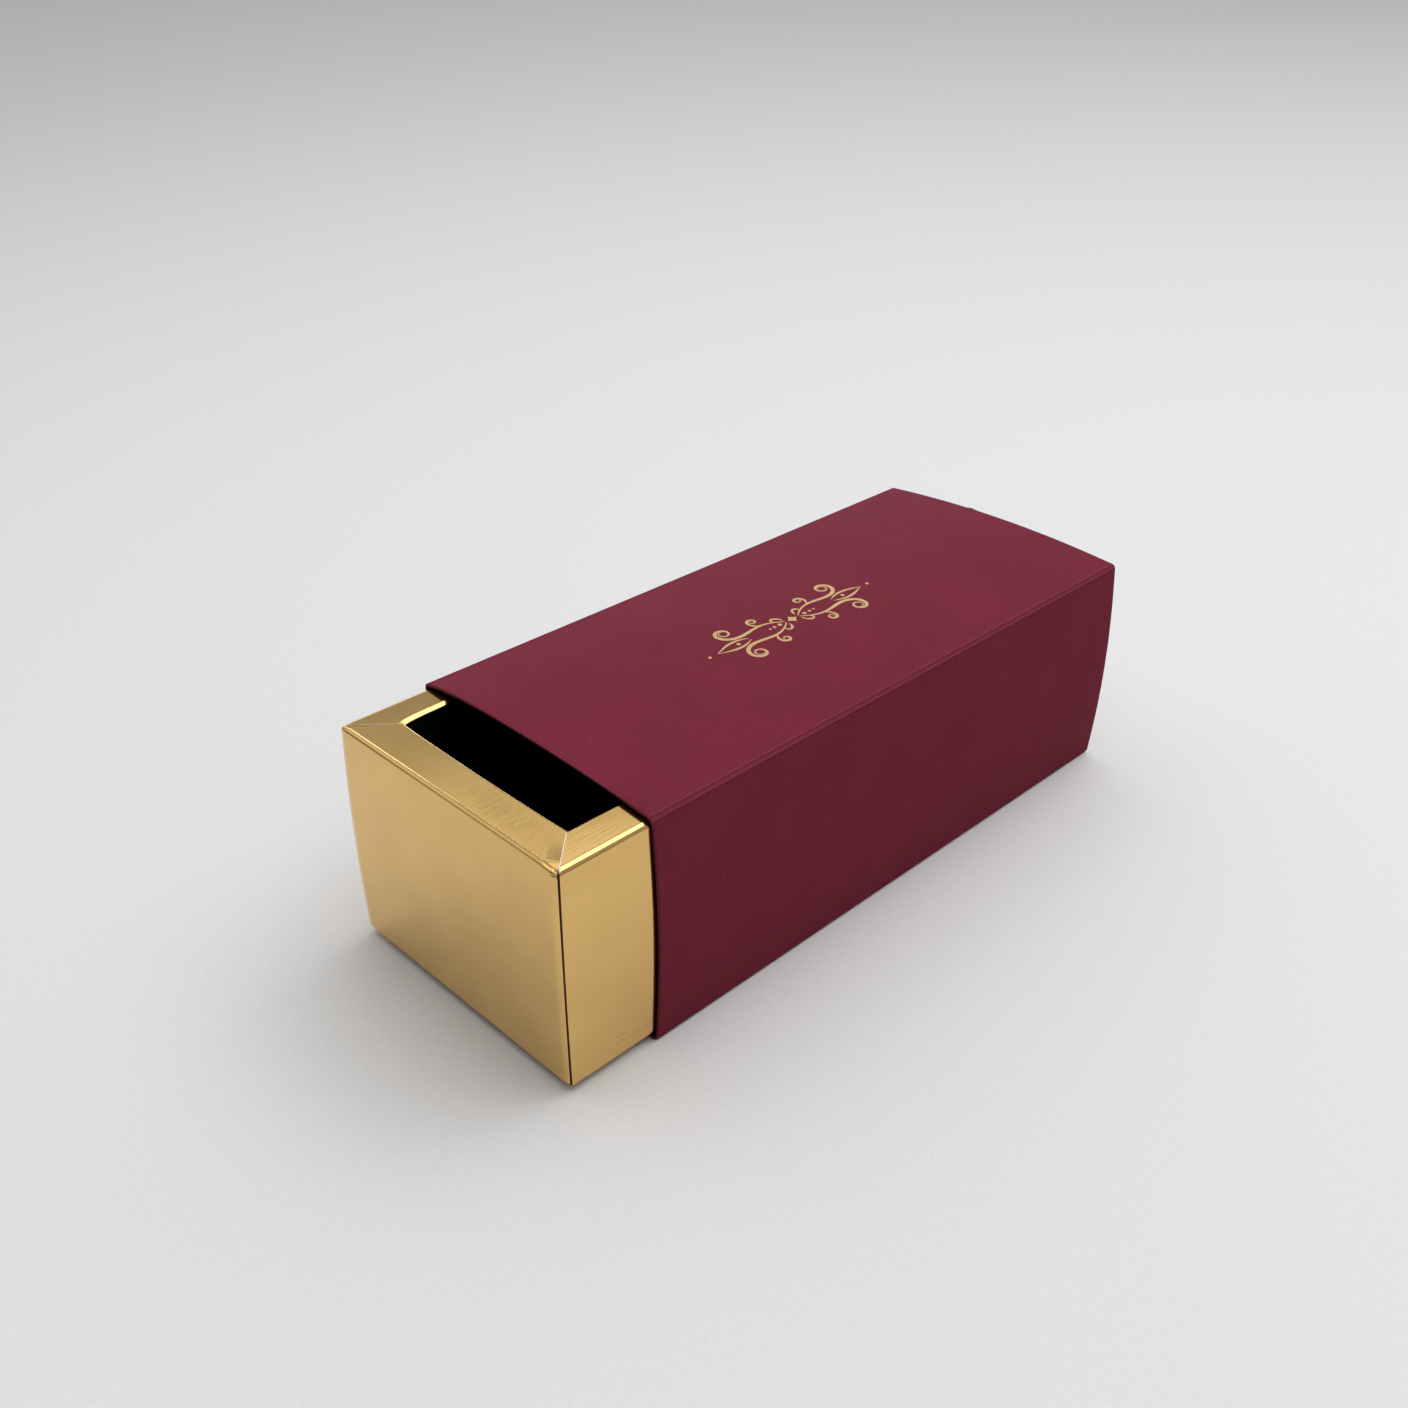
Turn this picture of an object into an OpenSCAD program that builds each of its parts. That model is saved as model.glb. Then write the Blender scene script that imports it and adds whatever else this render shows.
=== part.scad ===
// Sliding drawer gift box. A board sleeve, open at both ends, holds a card
// drawer whose four walls are folded hollow, with a black liner dropped in.
// Sizes are millimetres. The origin is under the middle of the whole box as
// it stands, the drawer opens towards -Y, and it is drawn part of the way.

/* [Sleeve] */
// Width of the sleeve over its folds, before the sides bow
sleeve_w = 100; // [80:1:140]
// Height of the sleeve over its folds, before the top crowns
sleeve_h = 76.9; // [60:0.1:100]
// Length of the sleeve from mouth to mouth
sleeve_l = 219.4; // [160:0.2:300]
// Thickness of the sleeve board
sleeve_board = 0.8; // [0.5:0.1:1.2]
// Radius inside the sleeve's folds
sleeve_crease = 0.3; // [0.2:0.1:0.8]
// Rise of the top panel at its middle
top_crown = 2.5; // [1:0.1:4]
// Outward bow of each side panel at its middle
side_bow = 1.9; // [1.2:0.1:3]

/* [Glue flap] */
// Width of the flap that lies on the sleeve's floor
flap_w = 18; // [8:1:30]
// Length over which each end of the flap tapers
flap_taper = 8; // [2:1:20]
// Gap between the floor panel's edge and the fold beside it
seam_gap = 0.3; // [0.1:0.1:0.5]

/* [Drawer] */
// Gap between the drawer and the sleeve at each side
side_gap = 0.35; // [0.3:0.05:1]
// Gap over the drawer's rim, at the sleeve's folds
top_gap = 0.3; // [0.3:0.05:1]
// Gap between the drawer and the glue flap under it
floor_gap = 0.6; // [0.3:0.05:1]
// How much shorter the drawer is than the sleeve
end_gap = 0.6; // [0.2:0.1:2]
// How far the drawer stands out of the sleeve
drawn = 30.6; // [0:0.1:80]
// Thickness of the drawer card
card = 0.7; // [0.4:0.1:0.9]
// Radius inside the folds at the drawer's outer edges and lip
card_crease = 0.6; // [0.2:0.1:1]
// Radius inside the crease between an inner wall and its foot
foot_crease = 0.2; // [0.1:0.05:0.25]
// Depth of the hollow front and rear walls, seen as the rim's width
end_rim = 12.7; // [8:0.1:18]
// Depth of the hollow side walls, seen as the rim's width
side_rim = 12; // [8:0.1:18]
// Outward bow of each outer wall at half height
wall_bow = 0.6; // [0.4:0.1:1.1]
// Width of the foot that glues each inner wall to the base
foot_w = 10; // [5:1:16]
// Open gap between two walls where they meet at a corner
corner_slit = 0.4; // [0.2:0.1:0.8]
// Length of each leg of the corner webs
web_leg = 14; // [6:1:24]
// How far a web stops short of the drawer's top and bottom
web_short = 3; // [2.5:0.5:10]

/* [Liner] */
// Thickness of the liner's walls and floor
liner_t = 1.2; // [0.8:0.1:2]
// Gap between the liner and the inner walls
liner_gap = 0.3; // [0.3:0.05:0.8]
// How far the liner's lip lies below the rim
liner_drop = 1.6; // [1:0.1:4]
// Radius inside the liner's upright corners
liner_corner = 2; // [1:0.5:5]

/* [Hidden] */

burgundy = [0.36, 0.09, 0.14];
gold = [0.80, 0.64, 0.36];
liner_black = [0.03, 0.03, 0.03];

// Flat facets in a bowed panel and in a fold
bow_facets = 12;
fold_facets = 6;
// How far a cutting shape runs past what it cuts
past = 2;

// Outer radii of the folds, and the radii at the middle of the sheet
sleeve_fold = sleeve_crease + sleeve_board;
sleeve_mid = sleeve_crease + sleeve_board / 2;
card_fold = card_crease + card;
card_mid = card_crease + card / 2;
foot_mid = foot_crease + card / 2;

drawer_w = sleeve_w - 2 * (sleeve_board + side_gap);
drawer_l = sleeve_l - end_gap;
drawer_bottom = 2 * sleeve_board + floor_gap;
drawer_top = sleeve_h - sleeve_board - top_gap;
foot_top = drawer_bottom + 2 * card;
liner_top = drawer_top - liner_drop;

// The whole box is centred on the origin with its drawer part drawn
box_rear = max(sleeve_l, drawer_l - drawn + wall_bow);
mouth_y = -(box_rear - drawn - wall_bow) / 2;
drawer_y = mouth_y - drawn + drawer_l / 2;

// Half the angle that a panel turns through when it bows out between two
// folds, and its radius at the middle of the sheet
function lean(span, bow) = 2 * atan(2 * bow / span);
function panel_radius(span, bow, mid) = mid + span / 2 / sin(lean(span, bow));

// A sheet is walked along its middle. Stations are [x, y, heading] and moves
// are [length] for a run and [radius, turn, facets] for a bend.
function step_on(s, move) = let (
        turn = len(move) == 1 ? 0 : move[1] / move[2],
        chord = len(move) == 1 ? move[0] : 2 * move[0] * sin(abs(turn) / 2),
        way = s[2] + turn / 2)
    [s[0] + chord * cos(way), s[1] + chord * sin(way), s[2] + turn];
function make_move(s, move) = let (n = len(move) == 1 ? 1 : move[2])
    [for (i = 1, q = step_on(s, move); i <= n; i = i + 1, q = step_on(q, move)) q];
function walk_on(s, moves, i) = i == len(moves) ? [] :
    let (leg = make_move(s, moves[i])) concat(leg, walk_on(leg[len(leg) - 1], moves, i + 1));
function walk(start, moves) = concat([start], walk_on(start, moves, 0));

// The line that lies a distance to the left of a walk, and the sheet about it
function beside(line, left) = [for (s = line) [s[0] - left * sin(s[2]), s[1] + left * cos(s[2])]];
function backwards(list) = [for (i = [len(list) - 1:-1:0]) list[i]];
function sheet(line, t) = concat(beside(line, t / 2), backwards(beside(line, -t / 2)));

// The sleeve, from its floor's left edge round to the fold over the flap
function sleeve_line() = let (
        across = sleeve_w - 2 * sleeve_fold,
        right = sleeve_h - 2 * sleeve_fold,
        left = right - sleeve_board,
        lean_top = lean(across, top_crown),
        lean_right = lean(right, side_bow),
        lean_left = lean(left, side_bow))
    walk([-across / 2 + seam_gap, sleeve_board / 2, 0], [
        [across - seam_gap],
        [sleeve_mid, 90 - lean_right, fold_facets],
        [panel_radius(right, side_bow, sleeve_mid), 2 * lean_right, bow_facets],
        [sleeve_mid, 90 - lean_right - lean_top, fold_facets],
        [panel_radius(across, top_crown, sleeve_mid), 2 * lean_top, bow_facets],
        [sleeve_mid, 90 - lean_top - lean_left, fold_facets],
        [panel_radius(left, side_bow, sleeve_mid), 2 * lean_left, bow_facets],
        [sleeve_mid, 90 - lean_left, fold_facets]]);

// A drawer wall from the base's edge: up the outside, in over the rim, down
// the inside and out along the foot. The outer face stands at x = 0.
wall_span = drawer_top - drawer_bottom - 2 * card_fold;
wall_lean = lean(wall_span, wall_bow);
function wall_line(rim) = walk([card_fold, drawer_bottom + card / 2, 180], [
        [card_mid, wall_lean - 90, fold_facets],
        [panel_radius(wall_span, wall_bow, card_mid), -2 * wall_lean, bow_facets],
        [card_mid, wall_lean - 90, fold_facets],
        [rim - 2 * card_fold],
        [card_mid, -90, fold_facets],
        [drawer_top - card_fold - foot_top + card / 2 - foot_mid],
        [foot_mid, 90, fold_facets],
        [foot_w]]);

// The bowed part of the wall's outer panel, without its folds
panel_line = [for (i = [fold_facets:fold_facets + bow_facets]) wall_line(end_rim)[i]];

module rounded_block(w, l, h, r) {
    linear_extrude(h) {
        square([w - 2 * r, l], center = true);
        square([w, l - 2 * r], center = true);
        for (x = [-1, 1], y = [-1, 1])
            translate([x * (w / 2 - r), y * (l / 2 - r)]) circle(r);
    }
}

// A hollow wall along the -Y side, mitred from outer corner to inner corner
module wall(reach, half, rim, next_rim) {
    slant = next_rim / rim;
    kerf = corner_slit / 2 * norm([rim, next_rim]) / rim;
    near = -wall_bow - past;
    far = rim + foot_w + past;
    translate([0, -reach, 0]) intersection() {
        translate([-half - past, 0, 0]) rotate([90, 0, 90])
            linear_extrude(2 * (half + past)) polygon(sheet(wall_line(rim), card));
        translate([0, 0, drawer_bottom - past])
            linear_extrude(drawer_top - drawer_bottom + 2 * past)
                polygon([for (p = [[-1, near], [1, near], [1, far], [-1, far]])
                    [p[0] * (half - p[1] * slant - kerf), p[1]]]);
    }
}

// Everything behind a bowed panel that stands along X, down to a depth
module behind_panel(skin, deep) {
    face = beside(panel_line, -skin);
    translate([-past, 0, 0]) rotate([90, 0, 90]) linear_extrude(deep + past)
        polygon(concat(face, [[deep, face[bow_facets][1]], [deep, face[0][1]]]));
}

module behind_corner(skin, deep) {
    intersection() {
        behind_panel(skin, deep);
        mirror([1, -1, 0]) behind_panel(skin, deep);
    }
}

// The folded web that closes a corner from inside the hollow walls
module corner_web(side, end) {
    color(gold) translate([0, drawer_y, 0]) scale([side, end, 1])
        translate([-drawer_w / 2, -drawer_l / 2, 0]) difference() {
            intersection() {
                behind_corner(card / 2, web_leg);
                translate([-past, -past, drawer_bottom + web_short])
                    cube([web_leg + 2 * past, web_leg + 2 * past, drawer_top - drawer_bottom - 2 * web_short]);
            }
            behind_corner(card * 1.5, web_leg + past);
        }
}

module sleeve_shell() {
    color(burgundy) translate([0, mouth_y + sleeve_l, 0]) rotate([90, 0, 0])
        linear_extrude(sleeve_l) polygon(sheet(sleeve_line(), sleeve_board));
}

module glue_flap() {
    color(burgundy) translate([sleeve_fold - sleeve_w / 2, mouth_y, sleeve_board])
        linear_extrude(sleeve_board)
            polygon([[0, 0], [flap_w, flap_taper], [flap_w, sleeve_l - flap_taper], [0, sleeve_l]]);
}

module tray_base() {
    color(gold) translate([card_fold - drawer_w / 2, drawer_y + card_fold - drawer_l / 2, drawer_bottom])
        cube([drawer_w - 2 * card_fold, drawer_l - 2 * card_fold, card]);
}

module front_wall() {
    color(gold) translate([0, drawer_y, 0])
        wall(drawer_l / 2, drawer_w / 2, end_rim, side_rim);
}

module rear_wall() {
    color(gold) translate([0, drawer_y, 0]) rotate([0, 0, 180])
        wall(drawer_l / 2, drawer_w / 2, end_rim, side_rim);
}

module left_wall() {
    color(gold) translate([0, drawer_y, 0]) rotate([0, 0, -90])
        wall(drawer_w / 2, drawer_l / 2, side_rim, end_rim);
}

module right_wall() {
    color(gold) translate([0, drawer_y, 0]) rotate([0, 0, 90])
        wall(drawer_w / 2, drawer_l / 2, side_rim, end_rim);
}

module liner_tray() {
    w = drawer_w - 2 * (side_rim + liner_gap);
    l = drawer_l - 2 * (end_rim + liner_gap);
    color(liner_black) translate([0, drawer_y, foot_top]) difference() {
        rounded_block(w, l, liner_top - foot_top, liner_corner + liner_t);
        translate([0, 0, liner_t])
            rounded_block(w - 2 * liner_t, l - 2 * liner_t, liner_top - foot_top, liner_corner);
    }
}

sleeve_shell();
glue_flap();
tray_base();
front_wall();
rear_wall();
left_wall();
right_wall();
corner_web(1, 1);  // corner_web_front_left
corner_web(-1, 1);  // corner_web_front_right
corner_web(1, -1);  // corner_web_rear_left
corner_web(-1, -1);  // corner_web_rear_right
liner_tray();
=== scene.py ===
"""Dresses the sliding drawer gift box: a burgundy sleeve, a gold card drawer and its black liner.

Sizes are in millimetres in the classes' fields, except where a class says otherwise, and in metres in every mesh.
"""

import logging
import math
from collections.abc import Sequence
from dataclasses import dataclass, field
from enum import Enum, IntEnum

import bmesh
import bpy
import numpy as np
from mathutils import Matrix, Vector
from mathutils.bvhtree import BVHTree


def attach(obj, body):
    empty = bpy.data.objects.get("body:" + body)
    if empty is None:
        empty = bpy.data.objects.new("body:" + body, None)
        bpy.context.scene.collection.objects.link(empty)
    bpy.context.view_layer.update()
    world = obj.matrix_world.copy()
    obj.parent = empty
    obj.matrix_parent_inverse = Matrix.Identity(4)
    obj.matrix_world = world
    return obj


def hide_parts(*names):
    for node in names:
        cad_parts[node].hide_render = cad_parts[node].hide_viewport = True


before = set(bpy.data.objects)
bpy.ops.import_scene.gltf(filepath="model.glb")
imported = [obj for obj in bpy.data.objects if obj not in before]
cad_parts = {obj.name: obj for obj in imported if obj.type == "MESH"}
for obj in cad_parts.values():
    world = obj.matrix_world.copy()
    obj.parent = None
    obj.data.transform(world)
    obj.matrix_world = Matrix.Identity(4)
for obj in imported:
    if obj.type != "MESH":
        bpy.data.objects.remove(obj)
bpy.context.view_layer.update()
MM = 0.001
log = logging.getLogger("gift_box")

Colour = tuple[float, float, float, float]
Spot = tuple[float, float, float]
Material = bpy.types.Material


@dataclass(frozen=True)
class BoxSizes:
    """The driving sizes that the sleeve, the drawer and the liner share, in millimetres."""

    width: float = 100.0
    height: float = 76.9
    length: float = 219.4
    board: float = 0.8
    sleeve_crease: float = 0.3
    card: float = 0.7
    card_crease: float = 1.0
    side_gap: float = 0.35
    top_gap: float = 0.3
    floor_gap: float = 0.6
    end_gap: float = 0.6
    drawn: float = 30.6
    foot_w: float = 10.0
    foot_crease: float = 0.2
    mouth_y: float = -94.1

    @property
    def drawer_w(self) -> float:
        """Width of the drawer over its folds."""
        return self.width - 2 * (self.board + self.side_gap)

    @property
    def drawer_l(self) -> float:
        """Length of the drawer over its folds."""
        return self.length - self.end_gap

    @property
    def drawer_bottom(self) -> float:
        """Height of the drawer's underside."""
        return 2 * self.board + self.floor_gap

    @property
    def drawer_top(self) -> float:
        """Height of the drawer's rim."""
        return self.height - self.board - self.top_gap

    @property
    def drawer_y(self) -> float:
        """Middle of the drawer along Y."""
        return self.mouth_y - self.drawn + self.drawer_l / 2

    @property
    def card_fold(self) -> float:
        """Outer radius of the drawer's folds."""
        return self.card_crease + self.card

    @property
    def fold_middle(self) -> float:
        """Radius of the middle of the card round the drawer's folds."""
        return self.card_crease + self.card / 2

    @property
    def foot_top(self) -> float:
        """Height of the feet that carry the liner."""
        return self.drawer_bottom + 2 * self.card


def to_linear(shown: float) -> float:
    """One channel in linear light, from its value on screen."""
    share = shown / 255
    return share / 12.92 if share <= 0.04045 else ((share + 0.055) / 1.055) ** 2.4


@dataclass(frozen=True)
class Srgb:
    """A colour as it shows on screen, in 0 to 255."""

    red: float
    green: float
    blue: float

    def linear(self) -> Colour:
        """The colour in linear light, with full alpha."""
        return to_linear(self.red), to_linear(self.green), to_linear(self.blue), 1.0


# ---------------------------------------------------------------- shading


class Signal:
    """A number on a shader socket, whose arithmetic adds Math nodes."""

    def __init__(self, book: "NodeBook", socket: bpy.types.NodeSocket) -> None:
        """Wraps a socket.

        Args:
            book: the node book that the socket belongs to.
            socket: the output to wrap.
        """
        self.book = book
        self.socket = socket

    def maths(self, operation: str, other: "Signal | float | None" = None,
              swap: bool = False) -> "Signal":
        """Adds one Math node.

        Args:
            operation: the Math node's operation.
            other: the second value, or None where the operation takes one.
            swap: True if the other value comes first.

        Returns:
            The result.
        """
        values = [self] if other is None else [other, self] if swap else [self, other]
        return self.book.node("ShaderNodeMath", {"operation": operation}, dict(enumerate(values)))

    def __add__(self, other: "Signal | float") -> "Signal":
        """The sum."""
        return self.maths("ADD", other)

    __radd__ = __add__

    def __sub__(self, other: "Signal | float") -> "Signal":
        """The difference."""
        return self.maths("SUBTRACT", other)

    def __rsub__(self, other: "Signal | float") -> "Signal":
        """The difference, with this value taken away."""
        return self.maths("SUBTRACT", other, swap=True)

    def __mul__(self, other: "Signal | float") -> "Signal":
        """The product."""
        return self.maths("MULTIPLY", other)

    __rmul__ = __mul__

    def __truediv__(self, other: "Signal | float") -> "Signal":
        """The quotient."""
        return self.maths("DIVIDE", other)

    def __abs__(self) -> "Signal":
        """The size without its sign."""
        return self.maths("ABSOLUTE")

    def at_least(self, other: "Signal | float") -> "Signal":
        """The larger of the two."""
        return self.maths("MAXIMUM", other)

    def smooth(self, low: float, high: float) -> "Signal":
        """A smooth step that is 0 at low and 1 at high.

        Args:
            low: where the step starts.
            high: where it ends. It may be under low, and the step then falls.

        Returns:
            The step, from 0 to 1.
        """
        start, end, ends = (low, high, (0.0, 1.0)) if low < high else (high, low, (1.0, 0.0))
        return self.book.node(
            "ShaderNodeMapRange",
            {"interpolation_type": "SMOOTHSTEP"},
            {"Value": self, "From Min": start, "From Max": end, "To Min": ends[0], "To Max": ends[1]},
        )


class NodeBook:
    """The node tree of one material or of the room, with one method that adds any node."""

    def __init__(self, name: str, room: bool = False) -> None:
        """Starts an empty tree.

        Args:
            name: the material's or the room's name.
            room: True for the world's tree.
        """
        self.owner = (bpy.data.worlds if room else bpy.data.materials).new(name)
        self.owner.use_nodes = True
        self.tree = self.owner.node_tree
        self.tree.nodes.clear()
        self._place: Signal | None = None

    def node(self, kind: str, settings: dict | None = None, inputs: dict | None = None,
             output: int | str = 0) -> Signal:
        """Adds a node.

        Args:
            kind: the node's type.
            settings: attributes to set first. A ramp's stops are pairs of place and colour under "stops".
            inputs: a value or a Signal for each socket, by name or number.
            output: the output that is wanted.

        Returns:
            The output as a Signal.
        """
        made = self.tree.nodes.new(kind)
        for key, value in (settings or {}).items():
            if key == "stops":
                ramp = made.color_ramp.elements
                while len(ramp) < len(value):
                    ramp.new(1.0)
                for stop, (place, colour) in zip(ramp, value):
                    stop.position, stop.color = place, colour
            else:
                setattr(made, key, value)
        for key, value in (inputs or {}).items():
            if isinstance(value, Signal):
                self.tree.links.new(value.socket, made.inputs[key])
            else:
                made.inputs[key].default_value = value
        return Signal(self, made.outputs[output])

    def place(self) -> Signal:
        """The object's own coordinates.

        Returns:
            The coordinates, in millimetres.
        """
        if self._place is None:
            spot = self.node("ShaderNodeTexCoord", output="Object")
            self._place = self.stretch(spot, (1 / MM,) * 3)
        return self._place

    def axis(self, name: str) -> Signal:
        """One of the object's own coordinates, in millimetres."""
        return self.node("ShaderNodeSeparateXYZ", inputs={0: self.place()}, output=name)

    def stretch(self, vector: Signal, by: Spot) -> Signal:
        """A vector with each coordinate multiplied."""
        return self.node("ShaderNodeVectorMath", {"operation": "MULTIPLY"}, {0: vector, 1: by})

    def noise(self, grain: float, detail: float = 3.0, stretch: Spot = (1, 1, 1),
              rough: float = 0.5) -> Signal:
        """Smooth noise from 0 to 1.

        Args:
            grain: the size of the largest grains, in millimetres.
            detail: the number of finer layers.
            stretch: how much shorter the grains are along each axis.
            rough: the weight of the finer layers.

        Returns:
            The noise.
        """
        place = self.stretch(self.place(), stretch)
        return self.node("ShaderNodeTexNoise", {},
                         {"Vector": place, "Scale": 1 / grain, "Detail": detail, "Roughness": rough})

    def blend(self, share: Signal | float, first: Signal | tuple, second: Signal | tuple) -> Signal:
        """Mixes two colours.

        Args:
            share: 0 for the first colour, 1 for the second.
            first: the first colour.
            second: the second colour.

        Returns:
            The mixed colour.
        """
        return self.node("ShaderNodeMix", {"data_type": "RGBA"}, {0: share, 6: first, 7: second}, output=2)

    def relief(self, height: Signal, depth: float, strength: float = 1.0) -> Signal:
        """A bump from a height.

        Args:
            height: the height, from 0 to 1.
            depth: what a height of 1 stands for, in millimetres.
            strength: the bump's strength.

        Returns:
            The normal.
        """
        return self.node("ShaderNodeBump", {},
                         {"Height": height, "Distance": depth * MM, "Strength": strength})

    def finish(self, fixed: dict[str, float], varied: dict[str, Signal]) -> Material:
        """Adds the surface shader.

        Args:
            fixed: constants, set on the shader's own sockets.
            varied: what changes over the surface.

        Returns:
            The material.
        """
        shader = self.node("ShaderNodeBsdfPrincipled", {}, {**fixed, **varied}, output="BSDF")
        self.send("ShaderNodeOutputMaterial", shader)
        return self.owner

    def send(self, kind: str, shader: Signal) -> None:
        """Sends a shader to the tree's output, of the given type."""
        out = self.tree.nodes.new(kind)
        self.tree.links.new(shader.socket, out.inputs["Surface"])


@dataclass(frozen=True)
class Mark:
    """A small blemish: where it is, its half sizes and how strong it is."""

    spot: Spot
    reach: Spot
    strength: float

    def mask(self, book: NodeBook) -> Signal:
        """Works out where the blemish shows.

        Args:
            book: the node book to build in.

        Returns:
            Its strength at each place on the surface.
        """
        away = book.node("ShaderNodeVectorMath", {"operation": "SUBTRACT"}, {0: book.place(), 1: self.spot})
        away = book.stretch(away, tuple(1 / r for r in self.reach))
        far = book.node("ShaderNodeVectorMath", {"operation": "LENGTH"}, {0: away}, output="Value")
        return far.smooth(1.0, 0.35) * self.strength


def marks_mask(book: NodeBook, marks: tuple[Mark, ...]) -> Signal | float:
    """The strongest of several blemishes at each place.

    Args:
        book: the node book to build in.
        marks: the blemishes.

    Returns:
        The mask, from 0 to 1.
    """
    total: Signal | float = 0.0
    for mark in marks:
        here = mark.mask(book)
        total = here if isinstance(total, float) else total.at_least(here)
    return total


@dataclass(frozen=True)
class Line:
    """A thin line along a fold: where its middle is, its half width and how strong it is."""

    middle: float
    half: float
    strength: float

    def mask(self, across: Signal) -> Signal:
        """Its strength at each place, from the distance across the fold."""
        return abs(across - self.middle).smooth(self.half, 0.1) * self.strength


@dataclass(frozen=True)
class SoftTouchBoard:
    """Burgundy board with a soft matt coating, with pale and dark lines painted along its folds and its mouth.

    The lines are measured across the top right fold, from where the top ends. The pale line and band there are
    partly coating worn pale where it stretches and partly painted highlight on the fold. The pale line along the
    mouth is a painted highlight. The dark lines, the darker far left fold and the dark rear edge are painted
    shade.
    Each band is a pair of places between which its tone grows or fades.
    """

    dark: Srgb = Srgb(109, 38, 53)
    light: Srgb = Srgb(126, 46, 62)
    dust: Srgb = Srgb(168, 104, 118)
    # partly coating worn pale where it stretches, partly painted highlight on the fold and along the mouth
    pale_wear_and_highlight: Srgb = Srgb(140, 66, 82)
    shaded_fold: Srgb = Srgb(74, 22, 34)
    roughness: float = 0.6
    gloss: float = 0.015
    grain: float = 0.55
    cloud: float = 26.0
    relief: float = 0.02
    pale_line: Line = Line(-0.35, 0.45, 0.45)
    pale_band: tuple[tuple[float, float], ...] = ((0.5, 2.0), (2.4, 2.15))
    pale_band_strength: float = 0.6
    # painted shade in the grooves beside the right top fold
    dark_lines: tuple[Line, ...] = (Line(0.25, 0.4, 0.4), Line(2.55, 0.35, 0.4))
    # painted shade on the far left top fold
    far_band: tuple[float, float] = (0.55, 0.2)
    # painted shade along the top's rear edge
    rear_strength: float = 0.8
    # painted highlight along the top's front mouth edge
    mouth_band: tuple[float, float] = (0.6, 0.2)
    mouth_reach: tuple[tuple[float, float], ...] = ((-35, -10), (44, 30))
    mouth_strength: float = 0.8
    dust_marks: tuple[Mark, ...] = ()

    def build(self, sizes: BoxSizes) -> Material:
        """Builds the coating.

        Args:
            sizes: the box's sizes, for the wear along the creases.

        Returns:
            The material.
        """
        book = NodeBook("soft_touch_burgundy")
        fine, cloud = book.noise(self.grain, 3, rough=0.7), book.noise(self.cloud, 2)
        tone = (fine * 0.75 + cloud * 0.25).smooth(0.3, 0.7)
        colour = book.blend(tone, self.dark.linear(), self.light.linear())
        x, y, right_half = book.axis("X"), book.axis("Y"), book.axis("X").smooth(0, 1)
        fold, half = sizes.sleeve_crease + sizes.board, sizes.width / 2
        over = x - (half - fold) - (book.axis("Z") - sizes.height)
        # pale line and band across the right top fold: partly wear where the coating stretches, partly painted
        # highlight on the fold's facet
        band = over.smooth(*self.pale_band[0]) * over.smooth(*self.pale_band[1]) * self.pale_band_strength
        # painted highlight: a pale line along the top's edge at the front mouth
        start, end = (sizes.mouth_y + away for away in self.mouth_band)
        mouth = y.smooth(start, end) * self.mouth_strength
        mouth = mouth * x.smooth(*self.mouth_reach[0]) * x.smooth(*self.mouth_reach[1])
        # lays the pale wear and painted highlight of the fold and the mouth in one colour
        pale = ((self.pale_line.mask(over) + band) * right_half).at_least(mouth) * fine.smooth(0.1, 0.6)
        colour = book.blend(pale, colour, self.pale_wear_and_highlight.linear())
        # painted shade: the far left top fold is darker, and its roughness is raised too
        near, far = self.far_band
        far_fold = x.smooth(near - half, far - half)
        rear = sizes.mouth_y + sizes.length
        # painted shade: dark lines in the grooves of the right top fold
        dark = (self.dark_lines[0].mask(over) + self.dark_lines[1].mask(over)) * right_half
        # painted shade: a dark line along the top's rear edge
        dark = dark.at_least(y.smooth(rear - near, rear - far) * self.rear_strength)
        # blends all the painted shade toward the shaded fold colour
        colour = book.blend(dark.at_least(far_fold), colour, self.shaded_fold.linear())
        if self.dust_marks:
            colour = book.blend(marks_mask(book, self.dust_marks), colour, self.dust.linear())
        rough = self.roughness + (fine - 0.5) * 0.12 + far_fold * 0.3
        normal = book.relief(fine * 0.7 + book.noise(0.25, 2) * 0.3, self.relief, 0.5)
        return book.finish({"Specular IOR Level": self.gloss},
                           {"Base Color": colour, "Roughness": rough, "Normal": normal})


@dataclass(frozen=True)
class PlainBoard:
    """Uncoated board or paper, such as a cut edge or a back. Below some height it may take a darker tone, a
    painted shade. It may be deeper in tone below some height.
    """

    name: str
    tone: Srgb
    shade: Srgb
    roughness: float = 0.85
    grain: float = 0.35
    painted_shade: Srgb | None = None
    painted_shade_below: float = 0.0
    gloss: float = 0.25

    def build(self) -> Material:
        """Builds the paper.

        Returns:
            The material.
        """
        book = NodeBook(self.name)
        fibre = book.noise(self.grain, 4, (1, 0.3, 1), 0.65)
        colour = book.blend(fibre.smooth(0.3, 0.7), self.shade.linear(), self.tone.linear())
        # painted shade: a darker tone below a height, where cut edges sit deep in the narrow slits
        if self.painted_shade is not None:
            low = book.axis("Z").smooth(self.painted_shade_below + 0.4, self.painted_shade_below - 0.4)
            colour = book.blend(low, colour, self.painted_shade.linear())
        rough = self.roughness + (fibre - 0.5) * 0.1
        return book.finish({"Specular IOR Level": self.gloss},
                           {"Base Color": colour, "Roughness": rough, "Normal": book.relief(fibre, 0.04, 0.6)})


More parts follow.
